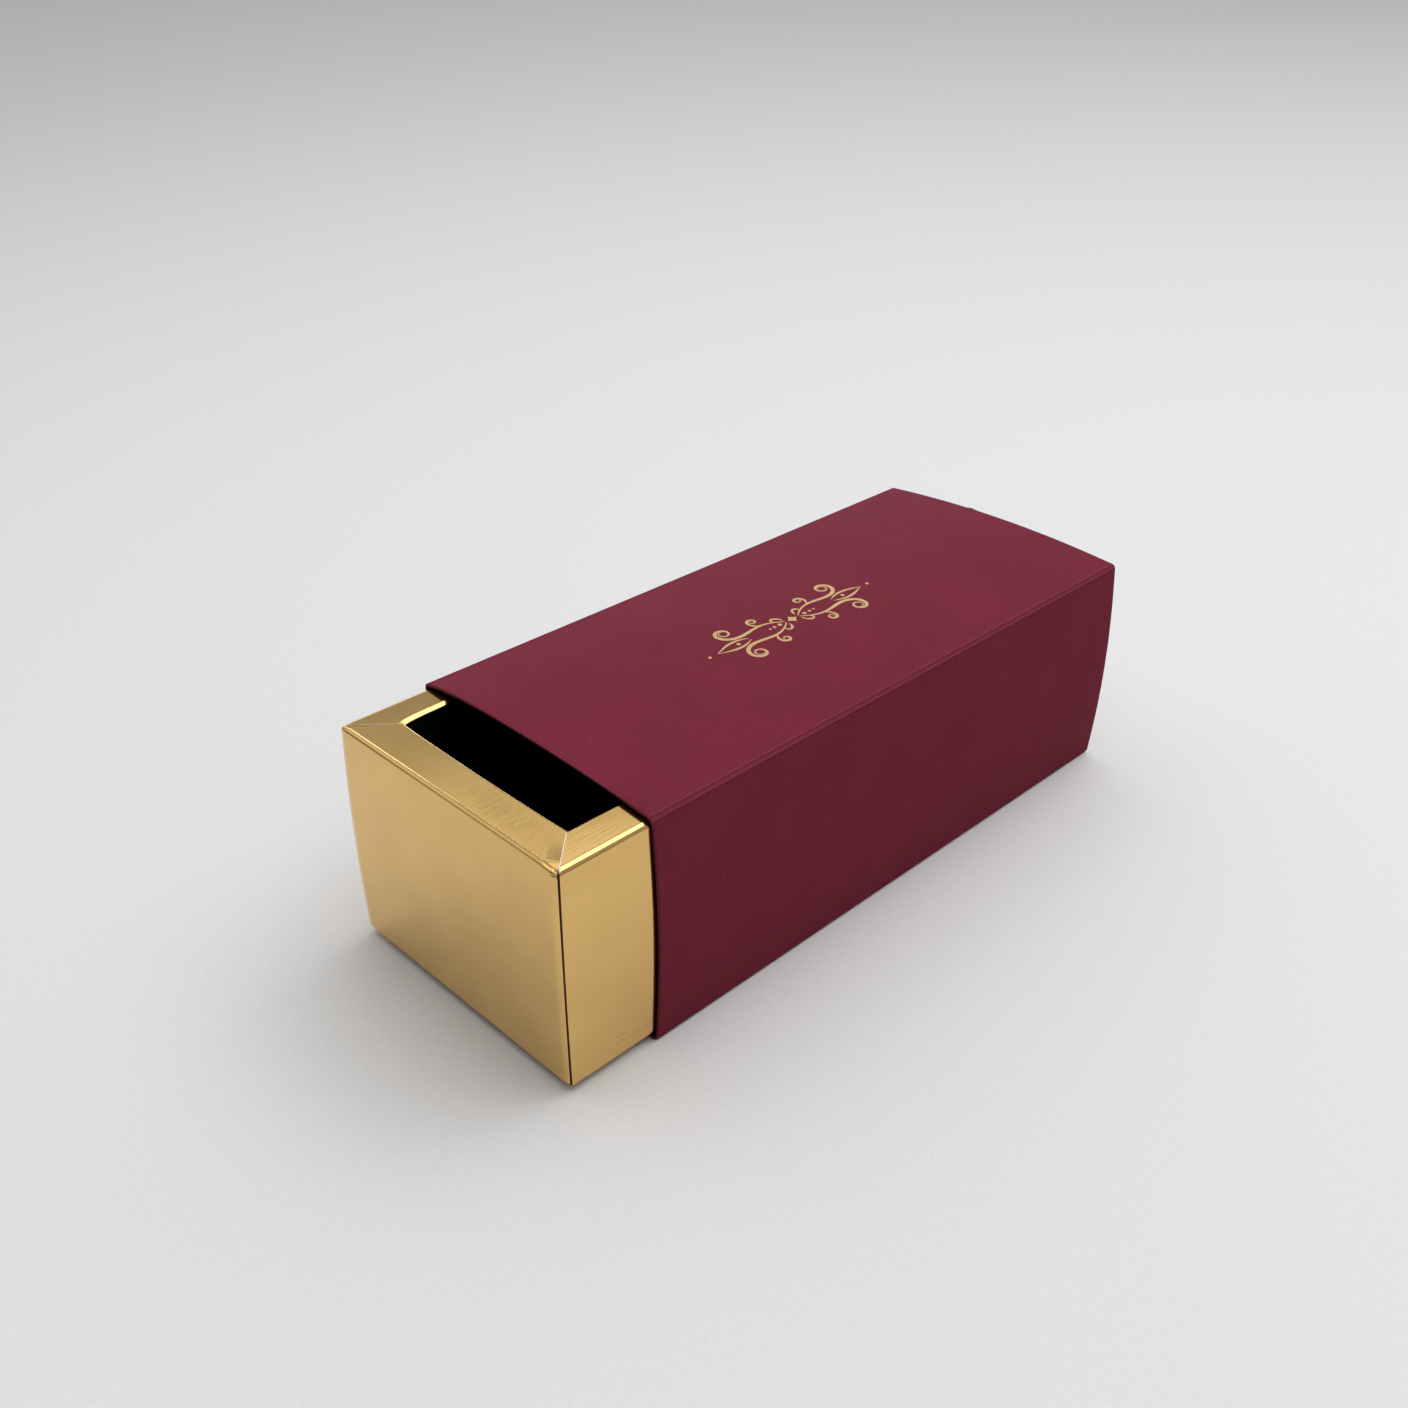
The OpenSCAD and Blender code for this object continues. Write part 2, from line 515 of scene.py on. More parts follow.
@dataclass(frozen=True)
class GoldCard:
    """Card faced with a satin gold film."""

    bright: Colour = (0.80, 0.525, 0.19, 1)
    dull: Colour = (0.75, 0.485, 0.17, 1)
    scuff: Colour = (0.16, 0.09, 0.04, 1)
    # painted shade in the wrinkle lines of the rim
    crease: Colour = (0.46, 0.28, 0.08, 1)
    crease_shade: float = 0.22
    crease_depth: float = 3.5
    bare: Srgb = Srgb(250, 234, 224)
    roughness: float = 0.15
    relief: float = 0.05
    scuffs: tuple[Mark, ...] = ()
    creased: tuple[Mark, ...] = ()

    def build(self) -> Material:
        """Builds the film.

        Returns:
            The material.
        """
        book = NodeBook("satin_gold_film")
        grain = book.noise(0.9, 3, rough=0.5)
        streak = book.noise(1.6, 3, (1.0, 0.12, 1.0))
        cloud = book.noise(18, 2)
        tone = (cloud * 0.7 + grain * 0.2 + streak * 0.1).smooth(0.3, 0.7)
        colour = book.blend(tone, self.dull, self.bright)
        rough = self.roughness + (cloud - 0.5) * 0.06 + (grain - 0.5) * 0.05
        if self.scuffs:
            worn = marks_mask(book, self.scuffs) * book.noise(0.5, 3).smooth(0.3, 0.5)
            colour = book.blend(worn, colour, self.scuff)
            rough = rough + worn * 0.3
        bare = book.node("ShaderNodeAttribute", {"attribute_name": "worn"}, output="Fac")
        bare = bare * book.noise(0.6, 3).smooth(0.15, 0.5)
        colour = book.blend(bare, colour, self.bare.linear())
        rough = rough + bare * 0.4
        height = grain * 0.12 + streak * 0.2 + book.noise(7, 2) * 0.6
        if self.creased:
            lines = book.noise(0.75, 3, (1.0, 0.07, 1.0), 0.6)
            folded = marks_mask(book, self.creased)
            # painted shade: the wrinkle lines are darkened in colour as well as bumped
            colour = book.blend(folded * lines.smooth(0.42, 0.62) * self.crease_shade, colour, self.crease)
            height = height + folded * lines * self.crease_depth
        return book.finish({}, {"Base Color": colour, "Roughness": rough, "Metallic": 1.0 - bare,
                                "Normal": book.relief(height, self.relief, 0.3)})


@dataclass(frozen=True)
class FoilStamp:
    """Bright hot-stamped gold foil."""

    tone: Colour = (0.83, 0.58, 0.27, 1)
    shade: Colour = (0.62, 0.40, 0.16, 1)
    roughness: float = 0.36

    def build(self) -> Material:
        """Builds the foil.

        Returns:
            The material.
        """
        book = NodeBook("stamped_foil")
        grain = book.noise(0.4, 3)
        colour = book.blend(grain.smooth(0.3, 0.7), self.shade, self.tone)
        rough = self.roughness + (grain - 0.5) * 0.2
        return book.finish({"Metallic": 1.0},
                           {"Base Color": colour, "Roughness": rough, "Normal": book.relief(grain, 0.02, 0.5)})


@dataclass(frozen=True)
class Finishes:
    """The finishes that the pieces wear."""

    coating: Material
    board_back: Material
    board_edge: Material
    gold: Material
    card_back: Material
    card_edge: Material
    web: Material
    lining: Material
    foil: Material

    @property
    def board_faces(self) -> tuple[Material, Material, Material]:
        """Back, front and cut edge of the sleeve's board."""
        return self.board_back, self.coating, self.board_edge

    @property
    def card_faces(self) -> tuple[Material, Material, Material]:
        """Back, front and cut edge of the drawer's card."""
        return self.card_back, self.gold, self.card_edge


class Slot(Enum):
    """The record's material slots."""

    SLEEVE = "sleeve_board"
    GOLD = "gold_card"
    LINER = "liner_black"


# ---------------------------------------------------------------- shapes


@dataclass(frozen=True)
class Bend:
    """One stretch of a card's section: a straight run of some length, or an arc of some radius that turns."""

    size: float
    turn: float = 0.0
    stops: tuple[float, ...] = (0.5, 1.0)


def even(count: int) -> tuple[float, ...]:
    """Even stops along a stretch, without its start."""
    return tuple((i + 1) / count for i in range(count))


def fine_ends(length: float, fine: float = 3.0, near: int = 12, middle: int = 16) -> tuple[float, ...]:
    """Stops that are close together near both ends of a stretch.

    Args:
        length: the stretch's length, in millimetres.
        fine: how far the close stops reach from each end.
        near: the number of close stops at each end.
        middle: the number of stops between them.

    Returns:
        The stops as shares of the length, without the start.
    """
    share = min(fine / length, 0.3)
    first = [share * (i + 1) / near for i in range(near)]
    rest = [share + (1 - 2 * share) * (i + 1) / middle for i in range(middle)]
    return tuple(first + rest + [1 - v for v in reversed(first[:-1])] + [1.0])


@dataclass
class Section:
    """A traced section.

    It holds its points, with the heading, the length along the section and the part of each, and where each
    part ends.
    """

    points: np.ndarray
    headings: np.ndarray
    run: np.ndarray
    part: np.ndarray
    ends: list[float]

    def normals(self) -> np.ndarray:
        """The unit vectors to the left of the section."""
        return np.stack([-np.sin(self.headings), np.cos(self.headings)], axis=1)


def trace(start: tuple[float, float], heading: float, parts: list[list[Bend]]) -> Section:
    """Follows a section from a start.

    Args:
        start: the first point.
        heading: the first heading, in degrees.
        parts: the stretches of each part of the section.

    Returns:
        The section.
    """
    place, angle, gone = np.array(start, float), math.radians(heading), 0.0
    points, headings, run, part, ends = [place], [angle], [0.0], [0], []
    for number, bends in enumerate(parts):
        for bend in bends:
            turn = math.radians(bend.turn)
            length = bend.size if turn == 0 else abs(turn) * bend.size
            left = np.array([-math.sin(angle), math.cos(angle)])
            side = math.copysign(1.0, turn)
            centre = place + side * bend.size * left
            for stop in bend.stops:
                facing = angle + turn * stop
                if turn == 0:
                    spot = place + bend.size * stop * np.array([math.cos(angle), math.sin(angle)])
                else:
                    spot = centre - side * bend.size * np.array([-math.sin(facing), math.cos(facing)])
                points.append(spot)
                headings.append(facing)
                run.append(gone + length * stop)
                part.append(number)
            place, angle, gone = points[-1], headings[-1], gone + length
        ends.append(gone)
    return Section(np.array(points), np.array(headings), np.array(run), np.array(part), ends)


@dataclass(frozen=True)
class Fold:
    """A scored fold: flat strips between tight bends, from the panel round to the rim.

    Each strip has the middle radius of the bend before it, its heading in degrees and its width. One more bend
    follows the last strip.
    """

    strips: tuple[tuple[float, float, float], ...]
    last: float

    def bends(self, first: float, goal: float) -> list[Bend]:
        """The stretches that turn a card.

        Args:
            first: the heading before the fold, in degrees.
            goal: the heading after it.

        Returns:
            The stretches.
        """
        path, heading = [], first
        for radius, to, width in self.strips:
            path += [Bend(radius, to - heading, even(5)), Bend(width, 0, even(3))]
            heading = to
        return [*path, Bend(self.last, goal - heading, even(6))]


def lean(span: float, bow: float) -> float:
    """Half the angle, in degrees, that a panel turns through when its middle bows out."""
    return 2 * math.degrees(math.atan(2 * bow / span))


def panel_radius(span: float, bow: float, mid: float) -> float:
    """Radius of a bowed panel's middle surface."""
    return mid + span / 2 / math.sin(math.radians(lean(span, bow)))


def bell(x: np.ndarray, middle: float, width: float) -> np.ndarray:
    """A smooth bump of height 1."""
    return np.exp(-(((x - middle) / width) ** 2))


def ease(x: np.ndarray, low: float, high: float) -> np.ndarray:
    """A smooth step from 0 at low to 1 at high."""
    t = np.clip((x - low) / (high - low), 0, 1)
    return t * t * (3 - 2 * t)


def between(first: float, last: float, share: float | np.ndarray) -> float | np.ndarray:
    """A value on the way from the first, at a share of 0, to the last, at 1."""
    return first * (1 - share) + last * share


def unit(vector: np.ndarray) -> np.ndarray:
    """The vector at length 1."""
    return vector / max(float(np.linalg.norm(vector)), 1e-12)


def faces_between(upper: Sequence[int], lower: Sequence[int]) -> list[list[int]]:
    """The faces between two closed loops of as many points.

    Args:
        upper: the point numbers of one loop.
        lower: the point numbers of the other.

    Returns:
        The point numbers of each face.
    """
    count = len(upper)
    return [[upper[k], upper[(k + 1) % count], lower[(k + 1) % count], lower[k]] for k in range(count)]


@dataclass
class Card:
    """A closed sheet of card, made from a grid of points on its middle surface.

    The grid has rows by columns by 3 values, in millimetres. Worn is how worn the card is at each point, from 0
    to 1. The cut edge has some faces round it, and bulges by a share of half the thickness.
    """

    name: str
    grid: np.ndarray
    thickness: float
    worn: np.ndarray | None = None
    edge_steps: int = 4
    edge_round: float = 0.3

    def normals(self) -> np.ndarray:
        """The unit normals of the middle surface.

        Returns:
            One normal for each point of the grid.
        """
        normal = np.cross(np.gradient(self.grid, axis=0), np.gradient(self.grid, axis=1))
        return normal / np.maximum(np.linalg.norm(normal, axis=2, keepdims=True), 1e-12)

    def ring(self) -> list[tuple[int, int]]:
        """The row and column of each point round the cut edge, in order."""
        rows, columns = self.grid.shape[:2]
        return [*((0, j) for j in range(columns)),
                *((i, columns - 1) for i in range(1, rows)),
                *((rows - 1, j) for j in range(columns - 2, -1, -1)),
                *((i, 0) for i in range(rows - 2, 0, -1))]

    def outward(self, i: int, j: int) -> np.ndarray:
        """The way out of the sheet at its cut edge.

        Args:
            i: the point's row.
            j: the point's column.

        Returns:
            The unit vector.
        """
        grid, out = self.grid, np.zeros(3)
        rows, columns = grid.shape[:2]
        if i == 0:
            out += unit(grid[0, j] - grid[1, j])
        if i == rows - 1:
            out += unit(grid[-1, j] - grid[-2, j])
        if j == 0:
            out += unit(grid[i, 0] - grid[i, 1])
        if j == columns - 1:
            out += unit(grid[i, -1] - grid[i, -2])
        return unit(out)

    def build(self, materials: tuple[Material, Material, Material]) -> bpy.types.Object:
        """Builds the closed sheet.

        Args:
            materials: the finish of the face that the normals leave, of the other face and of the cut edge.

        Returns:
            The object.
        """
        grid, normal, ring, half = self.grid, self.normals(), self.ring(), self.thickness / 2
        rows, columns = grid.shape[:2]
        count, around = rows * columns, len(ring)
        outward = np.array([self.outward(i, j) for i, j in ring])
        mids, ups = np.array([grid[spot] for spot in ring]), np.array([normal[spot] for spot in ring])
        places = [(grid + normal * half).reshape(-1, 3), (grid - normal * half).reshape(-1, 3)]
        loops = [[i * columns + j for i, j in ring]]
        for step in range(1, self.edge_steps):
            angle = math.pi * step / self.edge_steps
            bulge = outward * half * self.edge_round * math.sin(angle)
            places.append(mids + ups * half * math.cos(angle) + bulge)
            start = 2 * count + (step - 1) * around
            loops.append(list(range(start, start + around)))
        loops.append([count + v for v in loops[0]])
        faces: list[list[int]] = []
        for i in range(rows - 1):
            for j in range(columns - 1):
                corner = i * columns + j
                quad = [corner, corner + columns, corner + columns + 1, corner + 1]
                faces += [quad, [count + v for v in reversed(quad)]]
        looks = [0, 1] * (len(faces) // 2)
        for upper, lower in zip(loops, loops[1:]):
            faces += faces_between(upper, lower)
        looks += [2] * (len(faces) - len(looks))
        made = make_object(self.name, np.concatenate(places), faces, looks, materials)
        wear = np.zeros(len(made.data.vertices))
        if self.worn is not None:
            wear[:2 * count] = np.tile(self.worn.reshape(-1), 2)
        made.data.attributes.new("worn", "FLOAT", "POINT").data.foreach_set("value", wear)
        return made


def make_object(name: str, places: np.ndarray, faces: list[list[int]], looks: list[int],
                materials: tuple[Material, ...]) -> bpy.types.Object:
    """Makes an object from points and faces, with its normals turned outwards.

    Args:
        name: the object's name.
        places: points, in millimetres.
        faces: point numbers of each face.
        looks: the material number of each face.
        materials: the materials.

    Returns:
        The object.
    """
    mesh = bpy.data.meshes.new(name)
    mesh.from_pydata((places * MM).tolist(), [], faces)
    for material in materials:
        mesh.materials.append(material)
    mesh.polygons.foreach_set("material_index", looks)
    tidy = bmesh.new()
    tidy.from_mesh(mesh)
    bmesh.ops.recalc_face_normals(tidy, faces=tidy.faces)
    tidy.to_mesh(mesh)
    tidy.free()
    mesh.polygons.foreach_set("use_smooth", [True] * len(mesh.polygons))
    mesh.update()
    made = bpy.data.objects.new(name, mesh)
    bpy.context.scene.collection.objects.link(made)
    return made


def settle(piece: bpy.types.Object, body: str, slot: Slot, *stands_for: str) -> bpy.types.Object:
    """Rides a piece on its body and hides the CAD nodes that it stands for.

    Args:
        piece: the piece.
        body: the CAD body that it moves with.
        slot: the record's material slot; not used.
        stands_for: the CAD nodes that it replaces.

    Returns:
        The piece.
    """
    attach(piece, body)
    if stands_for:
        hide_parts(*stands_for)
    log.info("%s: %d faces on %s", piece.name, len(piece.data.polygons), body)
    return piece


# ---------------------------------------------------------------- sleeve


class BoardPart(IntEnum):
    """The parts of the sleeve's section, in order from the floor's left edge."""

    FLOOR = 0
    LOW_RIGHT_FOLD = 1
    RIGHT_PANEL = 2
    TOP_RIGHT_FOLD = 3
    TOP_PANEL = 4
    TOP_LEFT_FOLD = 5
    LEFT_PANEL = 6
    FLAP_FOLD = 7


@dataclass(frozen=True)
class Ridge:
    """A small ridge beside a crease, or a groove where its height is under 0: its place and its half width."""

    height: float
    place: float
    half: float


@dataclass
class Sleeve:
    """The burgundy sleeve: a folded board tube, crowned on top and bowed at its sides.

    Its crown lifts a little at the front mouth, its right panel is set back there, and the rear edge of the top
    has a small nick.
    """

    sizes: BoxSizes
    finishes: Finishes
    crown_front: float = 2.3
    crown_rear: float = 2.5
    bow_front: float = 1.85
    bow_rear: float = 1.9
    seam_gap: float = 0.3
    tight_fold: float = 0.15
    side_set_back: float = 0.4
    set_back_reach: float = 1.6
    nick_from: float = -13.3
    nick_peak: float = -12.9
    nick_to: float = -8.7
    nick_out: float = 0.75
    mouth_lift: float = 0.65
    lift_middle: float = -30.0
    lift_width: float = 26.0
    lift_edges: tuple[float, float] = (1.3, 8.0)
    lift_fade: int = 6
    wave_height: float = 0.06
    wave_length: float = 31.0
    wave_turn: float = 4.0
    ridges: tuple[Ridge, ...] = (Ridge(0.05, -1.15, 0.3), Ridge(-0.07, -0.7, 0.16), Ridge(0.05, 1.15, 0.3),
                                 Ridge(-0.05, 0.7, 0.16))
    lengthwise: int = 56

    @property
    def fold(self) -> float:
        """Outer radius of the folds."""
        return self.sizes.sleeve_crease + self.sizes.board

    def section(self, share: float) -> Section:
        """The board's section somewhere along the sleeve.

        Args:
            share: 0 at the front mouth and 1 at the rear one.

        Returns:
            The section, from the floor's left edge round to the fold over the flap.
        """
        size = self.sizes
        mid = size.sleeve_crease + size.board / 2
        across = size.width - 2 * self.fold
        right = size.height - 2 * self.fold
        left = right - size.board
        crown = between(self.crown_front, self.crown_rear, share)
        bow = between(self.bow_front, self.bow_rear, share)
        top, near, far = lean(across, crown), lean(right, bow), lean(left, bow)
        nick = (self.nick_from, self.nick_peak, 2 * self.nick_peak - self.nick_from,
                (self.nick_from + self.nick_to) / 2, self.nick_to)
        nick_stops = {(size.width / 2 - x) / size.width for x in nick}
        over_top = tuple(sorted(nick_stops | set(fine_ends(across, 3.2, 20, 26))))
        return trace((-across / 2 + self.seam_gap, size.board / 2), 0, [
            [Bend(across - self.seam_gap, 0, fine_ends(across, 3, 12, 12))],
            self.scored(mid, 90 - near),
            [Bend(panel_radius(right, bow, mid), 2 * near, fine_ends(right, 3.2, 16, 22))],
            self.scored(mid, 90 - near - top),
            [Bend(panel_radius(across, crown, mid), 2 * top, over_top)],
            self.scored(mid, 90 - top - far),
            [Bend(panel_radius(left, bow, mid), 2 * far, fine_ends(left, 3.2, 16, 22))],
            self.scored(mid, 90 - far),
        ])

    def scored(self, radius: float, turn: float) -> list[Bend]:
        """A scored fold that starts and ends where a plain one would, with a flat strip between two bends.

        Args:
            radius: middle radius of the plain fold.
            turn: how far it turns, in degrees.

        Returns:
            The stretches.
        """
        tight = Bend(self.tight_fold, turn / 2, even(5))
        flat = 2 * (radius - self.tight_fold) * math.sin(math.radians(turn / 2))
        return [tight, Bend(flat, 0, even(4)), tight]

    def crease_relief(self, section: Section) -> np.ndarray:
        """How far the scored folds stand out of the plain section, in millimetres.

        Args:
            section: the section.

        Returns:
            One height for each of its points.
        """
        height = np.zeros(len(section.run))
        for fold in (BoardPart.LOW_RIGHT_FOLD, BoardPart.TOP_RIGHT_FOLD, BoardPart.TOP_LEFT_FOLD):
            middle = (section.ends[fold - 1] + section.ends[fold]) / 2
            for ridge in self.ridges:
                height += ridge.height * bell(section.run - middle, ridge.place, ridge.half)
        return height

    def column(self, share: float) -> np.ndarray:
        """The middle surface at one station along Y.

        Args:
            share: 0 at the front mouth and 1 at the rear one.

        Returns:
            The section's points in space.
        """
        size, section = self.sizes, self.section(share)
        x, part, run = section.points[:, 0], section.part, section.run
        wave = np.sin(run / self.wave_length + self.wave_turn * share) * math.sin(math.pi * share)
        waved = np.interp(part, [BoardPart.FLOOR, BoardPart.LOW_RIGHT_FOLD, BoardPart.RIGHT_PANEL], [0, 0.5, 1])
        low, high = (edge - size.width / 2 for edge in self.lift_edges)
        lift = bell(x, self.lift_middle, self.lift_width) * ease(x, low, high) * (part == BoardPart.TOP_PANEL)
        relief = self.crease_relief(section) + self.wave_height * wave * waved
        relief = relief + self.mouth_lift * lift * (1 - share) ** self.lift_fade
        points = section.points - section.normals() * relief[:, None]
        panel_end = section.ends[BoardPart.RIGHT_PANEL]
        on_side = ease(run, panel_end, panel_end - self.set_back_reach) * (part > BoardPart.FLOOR)
        y = size.mouth_y + share * size.length + self.side_set_back * (1 - share) * on_side
        return np.stack([points[:, 0], y, points[:, 1]], axis=1)

    def grid(self) -> np.ndarray:
        """The middle surface as a grid of section points by stations along Y.

        Returns:
            The grid, with the nick in its rear edge.
        """
        size = self.sizes
        shares = (0.0, *fine_ends(size.length, 6, 6, self.lengthwise))
        grid = np.stack([self.column(share) for share in shares], axis=1)
        x, z = grid[:, -1, 0], grid[:, -1, 2]
        nick = np.interp(x, [self.nick_from, self.nick_peak, self.nick_to], [0, self.nick_out, 0])
        grid[:, -1, 1] += nick * (z > size.height)
        return grid

    def build(self) -> bpy.types.Object:
        """Builds the shell and dresses the flap.

        Returns:
            The shell.
        """
        shell = Card("sleeve_board_shell", self.grid(), self.sizes.board).build(self.finishes.board_faces)
        settle(shell, "sleeve", Slot.SLEEVE, "sleeve_shell")
        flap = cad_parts["glue_flap"]
        flap.data.materials.clear()
        flap.data.materials.append(self.finishes.board_back)
        return shell


# ---------------------------------------------------------------- drawer


@dataclass(frozen=True)
class Corner:
    """How a wall meets its neighbour at one end.

    It gives the depth of both rims there, the width of the open slit between the outer panels and of the seam
    over the rims, how far the slit's edges roll in, how far the rim falls at its outer edge and rises at its
    inner one, how worn the mitre is, and how far the outer fold flares.
    """

    own_rim: float
    next_rim: float
    slit: float
    seam: float
    roll: float
    fall: float
    rise: float
    worn: float
    flare: float = 0.0


class CardPart(IntEnum):
    """The parts of a wall's section, in order from the base's edge."""

    LOW_FOLD = 0
    OUTER_PANEL = 1
    OUTER_FOLD = 2
    RIM = 3
    INNER_FOLD = 4
    INNER_PANEL = 5


@dataclass
class DrawerWall:
    """One folded hollow wall, seen from inside the drawer with its outer face towards -Y."""

    name: str
    sizes: BoxSizes
    finishes: Finishes
    reach: float
    half: float
    rim: float
    bow: float
    turn: float
    low_end: Corner
    high_end: Corner
    outer_fold: Fold
    inner_fold: Fold
    slack: float = 0.0
    slack_within: float = 3.0
    bulge: float = 0.0
    across: int = 30
    roll_width: float = 1.9
    roll_power: float = 1.25
    fold_share: float = 0.25
    flare_length: float = 5.5
    flare_slope: float = 0.62
    flare_fade: tuple[float, float] = (0.13, 0.7)
    bulge_reach: float = 12.0
    wave_height: float = 0.05
    wave_along: float = 23.0
    wave_up: float = 19.0
    worn_line: float = 0.0
    line_place: float = 0.3
    line_half: float = 0.13
    worn_mitre: float = 0.36
    worn_before: float = 1.2
    worn_short: float = 0.3
    close_places: tuple[float, ...] = (0, 0.1, 0.32, 0.42, 0.7, 1.1, 1.6, 2.2, *range(3, 13), 12.7, 13.4, 14.2,
                                       15, 16, 17, 18.2, 20)

    def section(self) -> Section:
        """The wall's section, from the base's edge up, over the rim, down and out along the foot.

        Returns:
            The section: lower fold, outer panel, outer fold, rim, inner fold and inner panel with its foot.
        """
        size = self.sizes
        mid, half_card = size.fold_middle, size.card / 2
        tilt = lean(size.drawer_top - size.drawer_bottom - 2 * size.card_fold, self.bow)
        over, inside = self.outer_fold.bends(90 - tilt, 0), self.inner_fold.bends(0, -90)
        out, drop_in = trace((0, 0), 90 - tilt, [over]).points[-1], trace((0, 0), 0, [inside]).points[-1]
        foot = size.foot_crease + half_card
        low = size.drawer_bottom + half_card + mid * (1 - math.sin(math.radians(tilt)))
        high = size.drawer_top - half_card - out[1]
        drop = size.drawer_top - half_card + drop_in[1] - (size.foot_top - half_card + foot)
        flat = self.rim - size.card - out[0] - drop_in[0]
        return trace((size.card_fold, size.drawer_bottom + half_card), 180, [
            [Bend(mid, tilt - 90, even(10))],
            [Bend((high - low) / 2 / math.sin(math.radians(tilt)), -2 * tilt, fine_ends(high - low, 4, 6, 26))],
            over,
            [Bend(flat, 0, fine_ends(self.rim, 2.4, 8, 10))],
            inside,
            [Bend(drop, 0, fine_ends(drop, 3, 4, 10)), Bend(foot, 90, even(5)), Bend(size.foot_w, 0, even(4))],
        ])

    def stations(self) -> np.ndarray:
        """Places along the wall, close together near the corners.

        Returns:
            The places, from -1 to 1.
        """
        near = [1 - away / self.half for away in self.close_places]
        middle = np.linspace(-near[-1], near[-1], self.across)
        return np.array(sorted({round(float(v), 9) for v in (*near, *middle, *(-v for v in near))}))

    def edge_shift(self, place: np.ndarray) -> np.ndarray:
        """How far the rim's inner edge lies from its plain depth.

        Args:
            place: places along the wall, in millimetres.

        Returns:
            The shift of the inner edge, inwards where positive.
        """
        own_rim = between(self.low_end.own_rim, self.high_end.own_rim, (place / self.half + 1) / 2)
        into = np.maximum(self.half - self.rim - np.abs(place), 0)
        return own_rim - self.rim - self.slack * (1 - np.exp(-into / self.slack_within))

    def grid(self) -> np.ndarray:
        """The middle surface in the wall's own frame.

        Returns:
            The grid's points: along the wall, inwards, up.
        """
        size, section = self.sizes, self.section()
        depth, height = section.points[:, 0], section.points[:, 1]
        normal, part, run = section.normals(), section.part, section.run
        panel_end, fold_end, rim_end = section.ends[CardPart.OUTER_PANEL:CardPart.INNER_FOLD]
        rim_share = np.clip((run - fold_end) / (rim_end - fold_end), 0, 1)
        fold_share = np.clip((run - panel_end) / (fold_end - panel_end), 0, 1)
        base_share = np.clip(run / (math.pi / 2 * size.fold_middle), 0, 1)
        outer = base_share * between(1, self.fold_share, fold_share) * (part <= CardPart.OUTER_FOLD)
        up = np.clip((height - size.drawer_bottom) / (size.drawer_top - size.drawer_bottom), 0, 1)
        middle = np.sin(math.pi * up) * (part <= CardPart.OUTER_PANEL)
        flare_held = 0.5 * (1 - ease(rim_share, *self.flare_fade))
        columns = []
        for t in self.stations():
            corner = self.high_end if t > 0 else self.low_end
            share = (t + 1) / 2
            in_depth = depth + self.edge_shift(t * (self.half - self.rim)) * rim_share
            kerf = between(corner.seam, corner.slit, outer)
            rolled_in = in_depth + corner.roll * outer
            reach = self.half - rolled_in * corner.next_rim / corner.own_rim - kerf
            x, away = t * reach, reach * (1 - abs(t))
            roll = corner.roll * np.clip(1 - away / self.roll_width, 0, 1) ** self.roll_power * outer
            fall = between(self.low_end.fall, self.high_end.fall, share)
            rise = between(self.low_end.rise, self.high_end.rise, share)
            flared = corner.flare * np.maximum(1 - away / self.flare_length, 0)
            past_fold = np.maximum(run - fold_end, 0)
            curl = self.flare_slope * (np.maximum(flared - past_fold, 0) - flared * flare_held)
            wave = self.wave_height * np.sin(x / self.wave_along + height / self.wave_up + self.turn) * outer
            swell = self.bulge * middle * (1 - np.exp(-away / self.bulge_reach))
            point_depth = in_depth - normal[:, 0] * (roll - wave) - swell
            lifted = rise * rim_share - fall * (1 - rim_share) - curl
            point_height = height - normal[:, 1] * (roll - wave) + lifted * up
            columns.append(np.stack([x, point_depth, point_height], axis=1))
        return np.stack(columns, axis=1)

    def worn(self, grid: np.ndarray) -> np.ndarray:
        """How worn the film is: pale lines along the rim's inner fold and along the mitres.

        Args:
            grid: the wall's points.

        Returns:
            The wear at each point.
        """
        section = self.section()
        fold_end, rim_end, inside_end = section.ends[CardPart.OUTER_FOLD:CardPart.INNER_PANEL]
        line = bell(section.run, rim_end + self.line_place, self.line_half) * self.worn_line
        first, last = fold_end - self.worn_before, inside_end - self.worn_short
        on_top = ((section.run > first) & (section.run < last)).astype(float)
        wear = np.repeat(line[:, None], grid.shape[1], axis=1)
        for column, t in enumerate(self.stations()):
            corner = self.high_end if t > 0 else self.low_end
            if self.half * (1 - abs(t)) < self.worn_mitre:
                wear[:, column] = np.maximum(wear[:, column], corner.worn * on_top)
        return wear

    def build(self) -> bpy.types.Object:
        """Builds the wall in its place.

        Returns:
            The wall.
        """
        grid = self.grid()
        angle = math.radians(self.turn)
        x, depth = grid[..., 0], grid[..., 1] - self.reach
        placed = np.stack([x * math.cos(angle) - depth * math.sin(angle),
                           x * math.sin(angle) + depth * math.cos(angle) + self.sizes.drawer_y,
                           grid[..., 2]], axis=2)
        sheet = Card(self.name + "_card", placed, self.sizes.card, self.worn(grid))
        return settle(sheet.build(self.finishes.card_faces), "drawer", Slot.GOLD, self.name)


